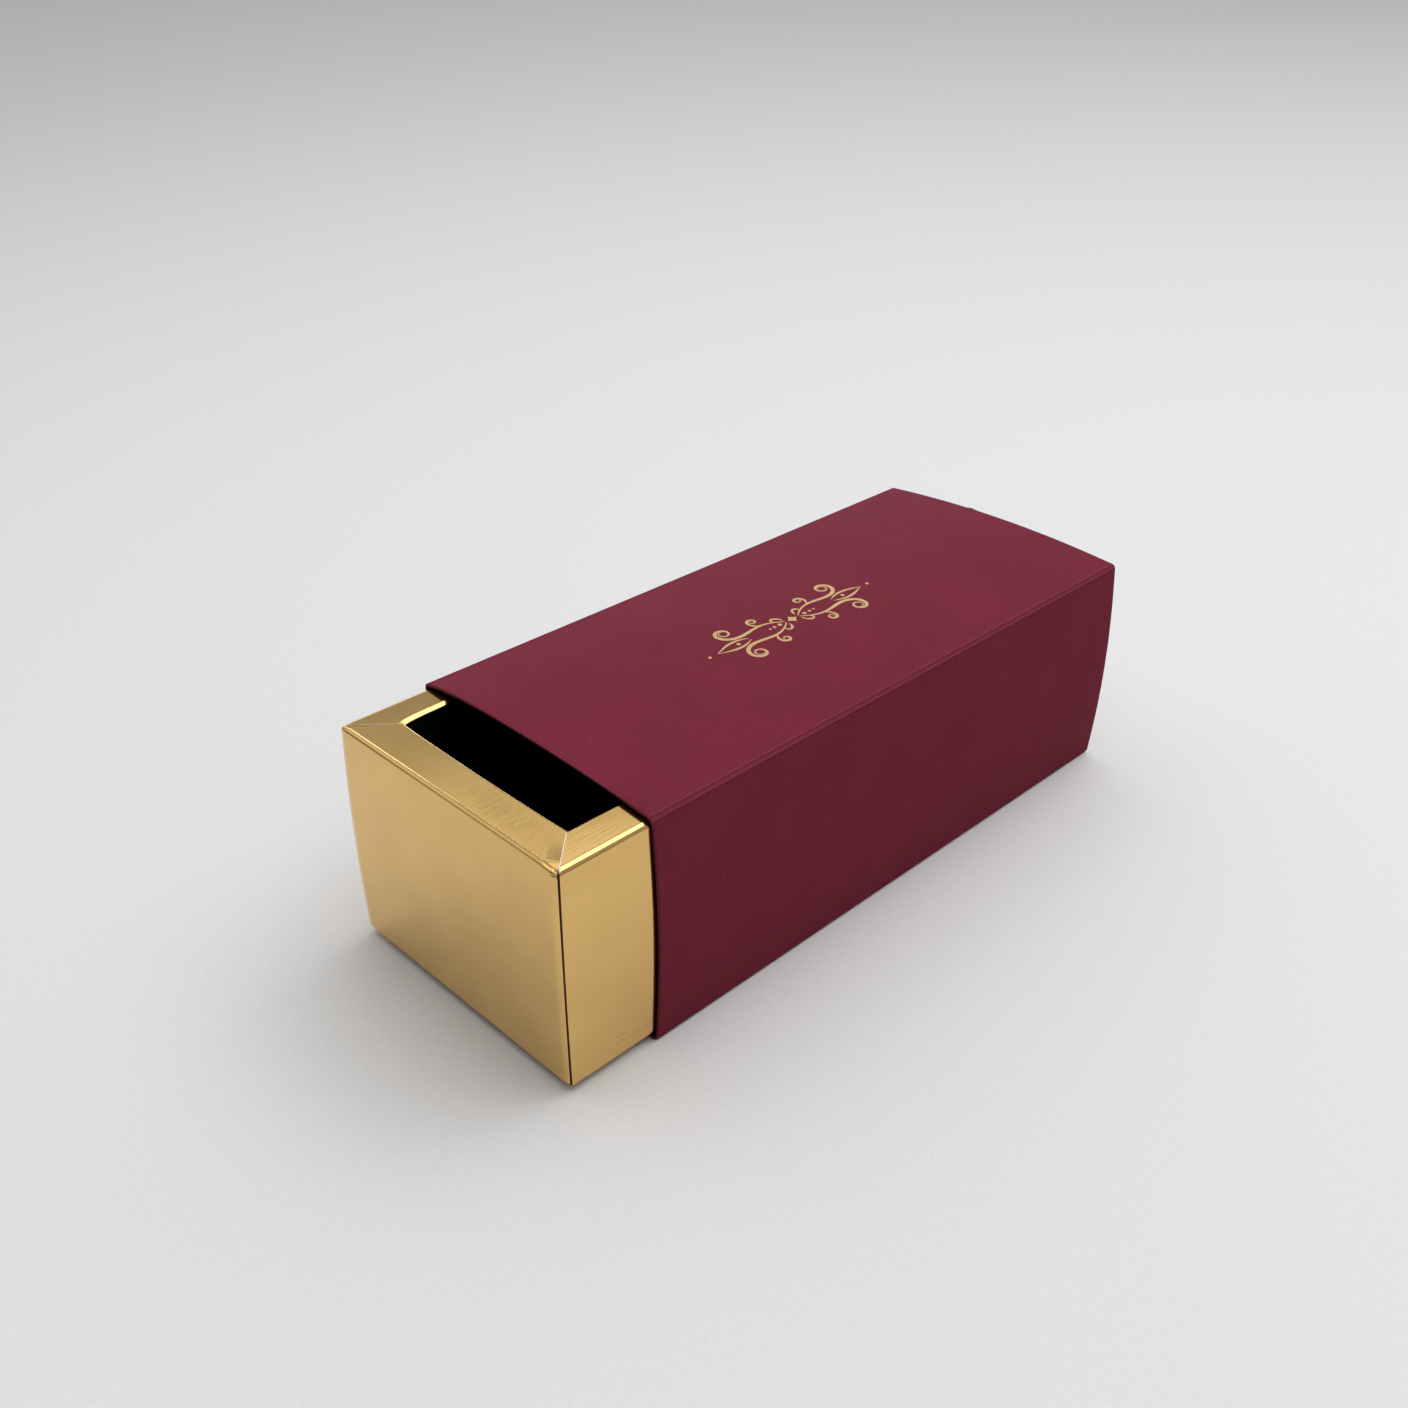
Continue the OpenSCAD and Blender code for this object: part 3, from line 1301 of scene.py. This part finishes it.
@dataclass
class CornerWeb:
    """The folded strip that closes a corner from inside the hollow walls."""

    name: str
    sizes: BoxSizes
    finishes: Finishes
    side: int
    end: int
    bow: float
    leg: float = 14.0
    short: float = 3.0
    bend: float = 6.5
    clear: float = 0.05
    steps: int = 8
    rows: int = 24

    def plan(self, inset: float) -> list[tuple[float, float]]:
        """The strip's run round the corner: one leg, the bend and the other leg.

        Args:
            inset: how far its middle surface lies inside the card's outer faces.

        Returns:
            Places in plan, from the corner inwards.
        """
        straight = self.leg - self.bend - inset
        turns = np.linspace(0, math.pi / 2, self.steps + 1)
        return [*((self.leg - straight * i / self.steps, 0.0) for i in range(self.steps)),
                *((inset + self.bend * (1 - math.sin(a)), self.bend * (1 - math.cos(a))) for a in turns),
                *((inset, self.bend + straight * (i + 1) / self.steps) for i in range(self.steps))]

    def build(self) -> bpy.types.Object:
        """Builds the strip behind its two outer panels.

        Returns:
            The strip.
        """
        size = self.sizes
        heights = np.linspace(size.drawer_bottom + self.short, size.drawer_top - self.short, self.rows)
        span = size.drawer_top - size.drawer_bottom - 2 * size.card_fold
        radius = panel_radius(span, self.bow, size.card_fold)
        middle = (size.drawer_bottom + size.drawer_top) / 2
        out = radius * np.cos(np.arcsin((heights - middle) / radius)) - (radius - self.bow)
        inset = 1.5 * size.card + self.clear
        x, y = np.array(self.plan(inset)).T[..., None]
        x = self.side * (x - out - size.drawer_w / 2)
        y = self.end * (y + inset - out - size.drawer_l / 2) + size.drawer_y
        grid = np.stack([x, y, np.broadcast_to(heights, x.shape)], axis=2)
        if self.side * self.end < 0:
            grid = grid[:, ::-1]
        wear = self.finishes
        piece = Card(self.name + "_card", grid, size.card).build((wear.card_back, wear.web, wear.web))
        return settle(piece, "drawer", Slot.GOLD, self.name)


@dataclass
class Liner:
    """The black lining tray, which follows the inner walls."""

    sizes: BoxSizes
    finishes: Finishes
    walls: dict[str, DrawerWall]
    thickness: float = 1.2
    gap: float = 0.3
    drop: float = 1.6
    corner: float = 2.2
    lip_steps: int = 8
    floor_corner: float = 1.5
    floor_rings: tuple[float, ...] = (3, 8, 16, 26, 33)
    foot_corner: float = 0.4
    shift_reach: float = 4.0
    per_corner: int = 10
    per_side: int = 40

    def outline(self, inset: float) -> np.ndarray:
        """One closed loop round the tray.

        Args:
            inset: how far the loop lies inside the tray's outer face.

        Returns:
            The loop's points in plan, in millimetres.
        """
        front, side, left = self.walls["front_wall"], self.walls["right_wall"], self.walls["left_wall"]
        half_x, half_y = side.reach - side.rim - self.gap, front.reach - front.rim - self.gap
        radius = max(self.corner - inset, 0.4)
        turns = np.radians(90 * np.arange(self.per_corner + 1) / self.per_corner)
        arcs = []
        for quarter, (sx, sy) in enumerate(((1, -1), (1, 1), (-1, 1), (-1, -1))):
            turn = turns + math.radians(90 * (quarter - 1))
            middle = np.array([sx * (half_x - inset - radius), sy * (half_y - inset - radius)])
            arcs.append(middle + radius * np.column_stack([np.cos(turn), np.sin(turn)]))
        shares = np.arange(1, self.per_side)[:, None] / self.per_side
        loop = np.concatenate([part for arc, following in zip(arcs, arcs[1:] + arcs[:1])
                               for part in (arc, arc[-1] + (following[0] - arc[-1]) * shares)])
        x, y = loop.T
        inwards = np.where(x > 0, side.edge_shift(y), left.edge_shift(-y))
        x = x - np.sign(x) * inwards * ease(np.abs(x), half_x / 2, half_x - self.shift_reach)
        y = y + front.edge_shift(x) * ease(-y, half_y / 2, half_y - self.shift_reach)
        return np.column_stack([x, y + self.sizes.drawer_y])

    def rings(self) -> list[tuple[float, float]]:
        """The tray's rings: up the outside, over the lip, down the inside and across the floor.

        Returns:
            The inset and the height of each.
        """
        low, high = self.sizes.foot_top, self.sizes.drawer_top - self.drop
        t, bend = self.thickness, self.floor_corner
        return [
            (2.0, low), (self.foot_corner, low), (0.0, low + self.foot_corner),
            *((0.0, low + (high - low) * k / 10) for k in range(1, 10)),
            *((t / 2 * (1 - math.cos(a)), high - t / 2 + t / 2 * math.sin(a))
              for a in np.linspace(0, math.pi, self.lip_steps + 1)),
            *((t, high - (high - low - t - 2) * k / 10) for k in range(1, 11)),
            *((t + bend * (1 - math.cos(a)), low + t + bend * (1 - math.sin(a)))
              for a in np.linspace(0, math.pi / 2, 6)),
            *((t + bend + inset, low + t) for inset in self.floor_rings),
        ]

    def build(self) -> bpy.types.Object:
        """Builds the closed tray from its rings.

        Returns:
            The tray.
        """
        places = [np.column_stack([loop, np.full(len(loop), z)])
                  for loop, z in ((self.outline(inset), z) for inset, z in self.rings())]
        count = len(places[0])
        loops = [range(ring * count, (ring + 1) * count) for ring in range(len(places))]
        faces = [face for upper, lower in zip(loops, loops[1:]) for face in faces_between(upper, lower)]
        faces += [list(loops[0]), list(loops[-1])]
        piece = make_object("liner_tray_board", np.concatenate(places), faces, [0] * len(faces),
                            (self.finishes.lining,))
        return settle(piece, "drawer", Slot.LINER, "liner_tray")


@dataclass
class Drawer:
    """The gold card drawer: base, four hollow walls, corner webs and liner."""

    sizes: BoxSizes
    finishes: Finishes
    end_rim: float = 12.9
    side_rim: float = 12.0
    left_front_rim: float = 13.75
    right_front_rim: float = 13.1
    outset: float = 0.2
    left_slack: float = 1.4
    left_inner_rim: float = 13.4
    front_bow: float = 0.6
    side_bow: float = 0.5
    side_bulge: float = 1.0
    sag: float = 0.12
    front_fold: Fold = Fold(((0.15, 66.0, 0.28), (0.15, 33.0, 0.42), (0.12, -14.5, 0.5), (0.12, -24.0, 0.12)),
                            0.1)
    side_fold: Fold = Fold(((0.22, 60.0, 0.75), (0.22, 22.0, 0.72)), 0.22)
    thin_lip: Fold = Fold((), 0.4)
    broad_lip: Fold = Fold(((0.22, -30.0, 1.0),), 0.22)
    walls: dict[str, DrawerWall] = field(default_factory=dict)

    def build(self) -> None:
        """Builds the walls, the webs, the base and the liner."""
        size = self.sizes
        side, end = self.side_rim, self.end_rim
        left, right = self.left_front_rim, self.right_front_rim
        open_seam = dict(slit=0.3, seam=0.05)
        shut_seam = dict(slit=0.1, seam=0.02, roll=0.4)
        rear = dict(roll=0.1, fall=0.3, rise=0.3, worn=0.3)
        inner = self.left_inner_rim
        front_left = Corner(left, inner, fall=0.55, rise=0.15, worn=0.0, **shut_seam)
        front_right = Corner(right, side, slit=0.2, seam=0.05, roll=0.6, fall=1.15, rise=0.0, worn=0.0,
                             flare=1.7)
        right_front = Corner(side, right, fall=0.5, rise=0.3, worn=1.0, roll=0.08, **open_seam)
        left_front = Corner(inner, left, fall=0.25, rise=0.15, worn=0.08, **shut_seam)
        left_rear = Corner(side, end, roll=0.1, fall=0.15, rise=0.15, worn=0.3, **open_seam)
        rear_end, side_end = Corner(end, side, **open_seam, **rear), Corner(side, end, **open_seam, **rear)
        front = dict(rim=end, bow=self.front_bow, outer_fold=self.front_fold, inner_fold=self.thin_lip,
                     slack=0.5, slack_within=12.0, across=16)
        sides = dict(rim=side, bow=self.side_bow, outer_fold=self.side_fold, inner_fold=self.broad_lip,
                     bulge=self.side_bulge, across=40)
        ahead, out = size.drawer_l / 2 + self.outset, size.drawer_w / 2 + self.outset
        plans = (
            ("front_wall", ahead, out, 0, front_left, front_right, {**front, "worn_line": 0.4}),
            ("right_wall", out, ahead, 90, right_front, side_end, sides),
            ("rear_wall", ahead, out, 180, rear_end, rear_end, front),
            ("left_wall", out, ahead, 270, left_rear, left_front,
             {**sides, "slack": self.left_slack, "slack_within": 3.5}),
        )
        for name, reach, half, turn, low, high, more in plans:
            wall = DrawerWall(name, size, self.finishes, reach=reach, half=half, turn=turn, low_end=low,
                              high_end=high, **more)
            wall.build()
            self.walls[name] = wall
        for name, at_side, at_end in (("front_left", 1, 1), ("front_right", -1, 1), ("rear_left", 1, -1),
                                      ("rear_right", -1, -1)):
            CornerWeb(f"corner_web_{name}", size, self.finishes, at_side, at_end, self.side_bow).build()
        self.base()
        Liner(size, self.finishes, self.walls).build()

    def base(self) -> bpy.types.Object:
        """Builds the base between the walls' lower folds.

        Returns:
            The base.
        """
        size = self.sizes
        half_x, half_y = size.drawer_w / 2 - size.card_fold, size.drawer_l / 2 - size.card_fold
        x = half_x * np.array([-1.0, *(2 * v - 1 for v in fine_ends(2 * half_x, 4, 4, 16))])
        y = half_y * np.array([-1.0, *(2 * v - 1 for v in fine_ends(2 * half_y, 4, 4, 30))])
        sag = self.sag * np.outer(1 - (x / half_x) ** 2, 1 - (y / half_y) ** 2)
        along, across = np.meshgrid(y + size.drawer_y, x)
        grid = np.stack([across, along, size.drawer_bottom + size.card / 2 - sag], axis=2)
        piece = Card("tray_base_card", grid, size.card).build(self.finishes.card_faces)
        return settle(piece, "drawer", Slot.GOLD, "tray_base")


# ---------------------------------------------------------------- ornament


@dataclass(frozen=True)
class Stroke:
    """One tapered stroke. Each of its bends has a length and how much it turns at its start and at its end."""

    start: tuple[float, float]
    heading: float
    bends: tuple[tuple[float, float, float], ...]
    widest: float
    thinnest: float = 0.25

    def path(self, step: float = 0.3) -> np.ndarray:
        """Walks the stroke in plan.

        Args:
            step: the distance between its points, in millimetres.

        Returns:
            The points.
        """
        points, angle = [np.array(self.start, float)], math.radians(self.heading)
        for length, first, last in self.bends:
            count = max(round(length / step), 2)
            for i in range(count):
                angle += between(first, last, (i + 0.5) / count) * length / count
                points.append(points[-1] + length / count * np.array([math.cos(angle), math.sin(angle)]))
        return np.array(points)


@dataclass
class ScrollOrnament:
    """A plain scroll ornament stamped in foil on the sleeve's top, alike at both ends."""

    sizes: BoxSizes
    finishes: Finishes
    shell: bpy.types.Object
    centre: tuple[float, float] = (2.0, 11.5)
    thickness: float = 0.03
    sunk: float = 0.02
    middle_reach: float = 2.1
    middle_power: float = 0.8
    swell_from: float = 0.03
    swell_power: float = 1.2
    strokes: tuple[Stroke, ...] = (
        Stroke((0.35, 3.2), 50, ((9, 0.045, 0.095), (10, 0.095, -0.10), (24, -0.10, -0.72)), 1.35, 0.3),
        Stroke((3.6, 10.5), 60, ((4, -0.10, -0.35), (9, -0.35, -1.15)), 1.05),
        Stroke((0.6, 19.5), 65, ((5, 0.03, 0.10), (9.5, 0.10, 0.0)), 0.95, 0.2),
        Stroke((1.4, 3.0), 5, ((3.4, 0.10, 0.5), (3.6, 0.6, 1.3)), 0.9),
    )
    dots: tuple[tuple[float, float], ...] = ((5.8, 0.75), (8.2, 0.6), (10.2, 0.45), (24.5, 0.7), (37.0, 0.6))

    def __post_init__(self) -> None:
        """Reads the face that the ornament lies on."""
        mesh = self.shell.data
        self.skin = BVHTree.FromPolygons([v.co for v in mesh.vertices], [p.vertices for p in mesh.polygons])

    def lay(self, points: np.ndarray, raised: float) -> np.ndarray:
        """Puts plan points on the crowned top.

        Args:
            points: places in plan.
            raised: height over the board's face.

        Returns:
            The points in space.
        """
        laid = []
        for x, y in points:
            hit, normal, _, _ = self.skin.ray_cast(Vector((x * MM, y * MM, 1.0)), Vector((0, 0, -1)))
            laid.append(tuple(hit / MM + normal * raised))
        return np.array(laid)

    def ribbon(self, stroke: Stroke, flip_x: int, flip_y: int) -> tuple[np.ndarray, list[list[int]]]:
        """One stroke as a closed thin slab.

        Args:
            stroke: the stroke.
            flip_x: 1, or -1 to mirror across the ornament's long axis.
            flip_y: 1, or -1 to mirror across its short axis.

        Returns:
            The points and the faces.
        """
        path = stroke.path() * np.array([flip_x, flip_y]) + np.array(self.centre)
        way = np.gradient(path, axis=0)
        way /= np.maximum(np.linalg.norm(way, axis=1, keepdims=True), 1e-9)
        side = np.column_stack([-way[:, 1], way[:, 0]])
        swell = np.sin(math.pi * np.linspace(self.swell_from, 1, len(path))) ** self.swell_power
        width = (stroke.thinnest + (stroke.widest - stroke.thinnest) * swell)[:, None] / 2
        left, right = path + side * width, path - side * width
        n = len(path)
        rows = [self.lay(left, self.thickness), self.lay(right, self.thickness),
                self.lay(right, -self.sunk), self.lay(left, -self.sunk)]
        faces = []
        for k in range(4):
            a, b = k * n, ((k + 1) % 4) * n
            faces += [[a + i, a + i + 1, b + i + 1, b + i] for i in range(n - 1)]
        faces += [[k * n for k in range(4)], [k * n + n - 1 for k in range(4)]]
        return np.concatenate(rows), faces

    def patch(self, along: float, reach: float, power: float) -> tuple[np.ndarray, list[list[int]]]:
        """A dot, or the four-pointed shape in the middle.

        Args:
            along: its place along the ornament.
            reach: its half width.
            power: 2 for a round dot, less for a pointed shape.

        Returns:
            The points and the faces.
        """
        angles = np.linspace(0, 2 * math.pi, 48 if power < 2 else 20, endpoint=False)
        far = reach / (np.abs(np.cos(angles)) ** power + np.abs(np.sin(angles)) ** power) ** (1 / power)
        loop = np.column_stack([np.cos(angles) * far, np.sin(angles) * far + along]) + np.array(self.centre)
        n = len(loop)
        upper, lower = range(n), range(n, 2 * n)
        faces = [*faces_between(upper, lower), list(upper), list(lower)]
        return np.concatenate([self.lay(loop, self.thickness), self.lay(loop, -self.sunk)]), faces

    def build(self) -> bpy.types.Object:
        """Builds the whole ornament as one piece.

        Returns:
            The ornament.
        """
        places, faces = [], []
        parts = [self.patch(0, self.middle_reach, self.middle_power)]
        parts += [self.patch(flip * along, reach, 2) for along, reach in self.dots for flip in (1, -1)]
        for stroke in self.strokes:
            parts += [self.ribbon(stroke, fx, fy) for fx, fy in ((1, 1), (-1, -1), (1, -1), (-1, 1))]
        for points, shape in parts:
            start = sum(len(p) for p in places)
            places.append(points)
            faces += [[start + v for v in face] for face in shape]
        piece = make_object("foil_scroll_ornament", np.concatenate(places), faces, [0] * len(faces),
                            (self.finishes.foil,))
        for polygon in piece.data.polygons:
            polygon.use_smooth = False
        return settle(piece, "sleeve", Slot.GOLD)


# ---------------------------------------------------------------- studio


@dataclass(frozen=True)
class Softbox:
    """A soft lamp, in metres and watts, which faces straight down."""

    name: str
    place: Spot
    size: tuple[float, float]
    power: float

    def hang(self) -> None:
        """Hangs the lamp."""
        data = bpy.data.lights.new(self.name, "AREA")
        data.shape, (data.size, data.size_y), data.energy = "RECTANGLE", self.size, self.power
        lamp = bpy.data.objects.new(self.name, data)
        lamp.location = self.place
        lamp.visible_camera = False
        bpy.context.scene.collection.objects.link(lamp)


@dataclass(frozen=True)
class WallGlow:
    """A pale stretch of the room's wall: the sine of its height, its reach, its bearing and its strength."""

    rise: float
    reach: float
    bearing: float
    strength: float
    width: float = 60.0

    def light(self, x: Signal, y: Signal, z: Signal) -> Signal:
        """Its brightness in each direction.

        Args:
            x: the direction's first coordinate.
            y: the direction's second coordinate.
            z: the direction's height.

        Returns:
            The brightness.
        """
        upright = (1 - abs(z - self.rise) / self.reach).at_least(0.0)
        turn = (y.maths("ARCTAN2", x) - math.radians(self.bearing)).maths("COSINE").maths("ARCCOSINE")
        return upright * (1 - turn / math.radians(self.width)).at_least(0.0) * self.strength


@dataclass
class Studio:
    """The camera, the pale floor and the soft light.

    The eye's place is in millimetres from the middle of the sleeve's front mouth on the floor, the angles are in
    radians, and the clip distances and the floor's half width are in metres.
    """

    sizes: BoxSizes
    focal_px: float = 1471.778
    image_px: float = 1408.0
    yaw: float = 0.794780
    pitch: float = 0.532123
    roll: float = -0.000629
    eye: Spot = (281.912, -208.702, 294.935)
    sensor: float = 36.0
    clip: tuple[float, float] = (0.01, 100.0)
    floor_half: float = 12.0
    floor_tones: tuple[Srgb, Srgb] = (Srgb(229, 229, 230), Srgb(232, 232, 233))
    floor_grain: float = 1.5
    room: float = 0.15
    glows: tuple[WallGlow, ...] = (
        WallGlow(0.1, 0.2, 135, 6.80),
        WallGlow(0.5, 0.12, 105, 1.49),
        WallGlow(0.65, 0.3, 75, 1.28),
        WallGlow(0.65, 0.3, 195, 1.06),
        WallGlow(0.35, 0.25, 75, 0.70),
        WallGlow(0.35, 0.25, 195, 0.50),
        WallGlow(0.35, 0.25, 255, 0.38),
        WallGlow(0.78, 0.09, 95, 1.4, 40.0),
        WallGlow(0.30, 0.2, 38, 0.3, 45.0),
        WallGlow(0.63, 0.08, 158, 0.15, 18.0),
    )
    lamps: tuple[Softbox, ...] = (
        Softbox("ceiling_softbox", (-0.9, 1.65, 3.0), (4.8, 3.3), 21.6),
        Softbox("right_softbox", (0.8, 0.8, 2.0), (2.4, 2.4), 20.4),
        Softbox("overhead_softbox", (0.0, 0.0, 1.2), (1.6, 1.6), 6.0),
    )

    def camera(self) -> None:
        """Sets the camera at the photograph's viewing angle."""
        data = bpy.data.cameras.new("view_camera")
        data.sensor_width = self.sensor
        data.lens = self.focal_px / self.image_px * self.sensor
        data.clip_start, data.clip_end = self.clip
        ahead = Vector((-math.sin(self.yaw) * math.cos(self.pitch), math.cos(self.yaw) * math.cos(self.pitch),
                        -math.sin(self.pitch)))
        right = Vector((math.cos(self.yaw), math.sin(self.yaw), 0))
        up = right.cross(ahead)
        right, up = (math.cos(self.roll) * right + math.sin(self.roll) * up,
                     -math.sin(self.roll) * right + math.cos(self.roll) * up)
        pose = Matrix((right, up, -ahead)).transposed().to_4x4()
        pose.translation = Vector((self.eye[0], self.eye[1] + self.sizes.mouth_y, self.eye[2])) * MM
        camera = bpy.data.objects.new("view_camera", data)
        camera.matrix_world = pose
        bpy.context.scene.collection.objects.link(camera)
        bpy.context.scene.camera = camera

    def floor(self) -> None:
        """Lays the pale floor."""
        half = self.floor_half
        mesh = bpy.data.meshes.new("pale_floor")
        corners = [(-half, -half, 0), (half, -half, 0), (half, half, 0), (-half, half, 0)]
        mesh.from_pydata(corners, [], [[0, 1, 2, 3]])
        book = NodeBook("pale_floor")
        speck = book.noise(self.floor_grain, 4)
        tone = book.blend(speck.smooth(0.3, 0.7), *(shade.linear() for shade in self.floor_tones))
        mesh.materials.append(book.finish({"Specular IOR Level": 0.2},
                                          {"Base Color": tone, "Roughness": 0.8 + speck * 0.05}))
        floor = bpy.data.objects.new("pale_floor", mesh)
        bpy.context.scene.collection.objects.link(floor)

    def light(self) -> None:
        """Lights the scene with the room's pale walls and the softboxes."""
        book = NodeBook("pale_room", room=True)
        way = book.node("ShaderNodeTexCoord", output="Generated")
        x, y, z = (book.node("ShaderNodeSeparateXYZ", inputs={0: way}, output=name) for name in "XYZ")
        total: Signal | float = self.room
        for glow in self.glows:
            total = total + glow.light(x, y, z)
        book.send("ShaderNodeOutputWorld", book.node("ShaderNodeBackground", inputs={"Strength": total}))
        bpy.context.scene.world = book.owner
        for lamp in self.lamps:
            lamp.hang()

    def build(self) -> None:
        """Builds the studio."""
        self.camera()
        self.floor()
        self.light()
        bpy.context.scene.view_settings.view_transform = "Standard"


def make_finishes(sizes: BoxSizes) -> Finishes:
    """Builds every finish.

    Args:
        sizes: the box's sizes.

    Returns:
        The finishes.
    """
    front = sizes.mouth_y - sizes.drawn
    side = sizes.drawer_w / 2
    dashes = ((16.6, 8.05, 0.6), (17.6, 8.2, 0.4), (18.9, 8.3, 0.6), (20.6, 8.1, 0.7), (22.6, 7.9, 1.0),
              (24.6, 7.7, 0.8), (27.3, 7.85, 0.9), (28.6, 7.95, 0.5), (16.9, 10.6, 0.6), (18.2, 10.9, 0.6),
              (19.4, 10.55, 0.4), (8.4, 7.5, 0.5), (11.5, 7.6, 0.3), (13.5, 7.8, 0.25))
    scuffs = (
        Mark((side, front + 15.3, 56.7), (2.0, 0.4, 0.4), 0.9),
        Mark((side, front + 4.0, 30.3), (2.0, 0.35, 0.35), 0.5),
        Mark((23.0, front, 37.6), (3.2, 1.5, 0.22), 0.6),
        Mark((20.4, front, 36.2), (1.6, 1.5, 0.2), 0.5),
        *(Mark((side, front + along, up), (1.5, half, 0.2), 1.0) for along, up, half in dashes),
    )
    specks = (
        Mark((-34.9, -66.2, 78.2), (0.45, 0.54, 0.6), 0.45),
        Mark((-35.2, -61.1, 78.2), (0.3, 0.36, 0.6), 0.8),
        Mark((2.5, -50.5, 79.3), (0.28, 0.34, 0.6), 0.6),
        Mark((13.0, -83.1, 79.2), (0.3, 0.36, 0.6), 0.7),
        Mark((-18.8, -87.0, 78.9), (0.3, 0.36, 0.6), 0.5),
        Mark((-9.7, 8.9, 79.2), (0.25, 0.30, 0.6), 0.5),
        Mark((51.6, -68.8, 46.8), (0.8, 0.7, 0.25), 0.45),
        Mark((51.6, -79.7, 23.3), (0.8, 0.3, 0.3), 0.5),
        Mark((51.6, 9.5, 34.3), (0.8, 0.3, 0.3), 0.35),
    )
    creased = (Mark((24.0, front + 6.0, sizes.drawer_top), (30.0, 8.0, 2.0), 1.0),
               Mark((side - 6.0, front + 14.0, sizes.drawer_top), (7.5, 16.0, 2.0), 0.5))
    return Finishes(
        coating=SoftTouchBoard(dust_marks=specks).build(sizes),
        board_back=PlainBoard("uncoated_board", Srgb(66, 24, 34), Srgb(58, 20, 30)).build(),
        board_edge=PlainBoard("cut_board_edge", Srgb(102, 34, 50), Srgb(86, 26, 40)).build(),
        gold=GoldCard(scuffs=scuffs, creased=creased).build(),
        card_back=PlainBoard("card_back", Srgb(206, 198, 186), Srgb(192, 184, 172)).build(),
        # painted shade: the cut card edges turn dark brown below the rim
        card_edge=PlainBoard("cut_card_edge", Srgb(232, 206, 194), Srgb(216, 184, 168), painted_shade=Srgb(66, 26, 14),
                             painted_shade_below=sizes.drawer_top - 1.2).build(),
        web=PlainBoard("shaded_web_card", Srgb(70, 30, 14), Srgb(56, 22, 9)).build(),
        # partly the lining's own black, partly painted shade: its tone is nearly zero for the deep shade inside
        # the drawer
        lining=PlainBoard("black_lining", Srgb(6, 6, 7), Srgb(3, 3, 4), 0.95, 0.5, gloss=0.02).build(),
        foil=FoilStamp().build(),
    )


def main() -> None:
    """Builds the studio, then dresses the sleeve, the drawer and the ornament."""
    logging.basicConfig(level=logging.INFO, format="%(message)s")
    sizes = BoxSizes()
    Studio(sizes).build()
    finishes = make_finishes(sizes)
    shell = Sleeve(sizes, finishes).build()
    Drawer(sizes, finishes).build()
    ScrollOrnament(sizes, finishes, shell).build()


if __name__ == "__main__":
    main()
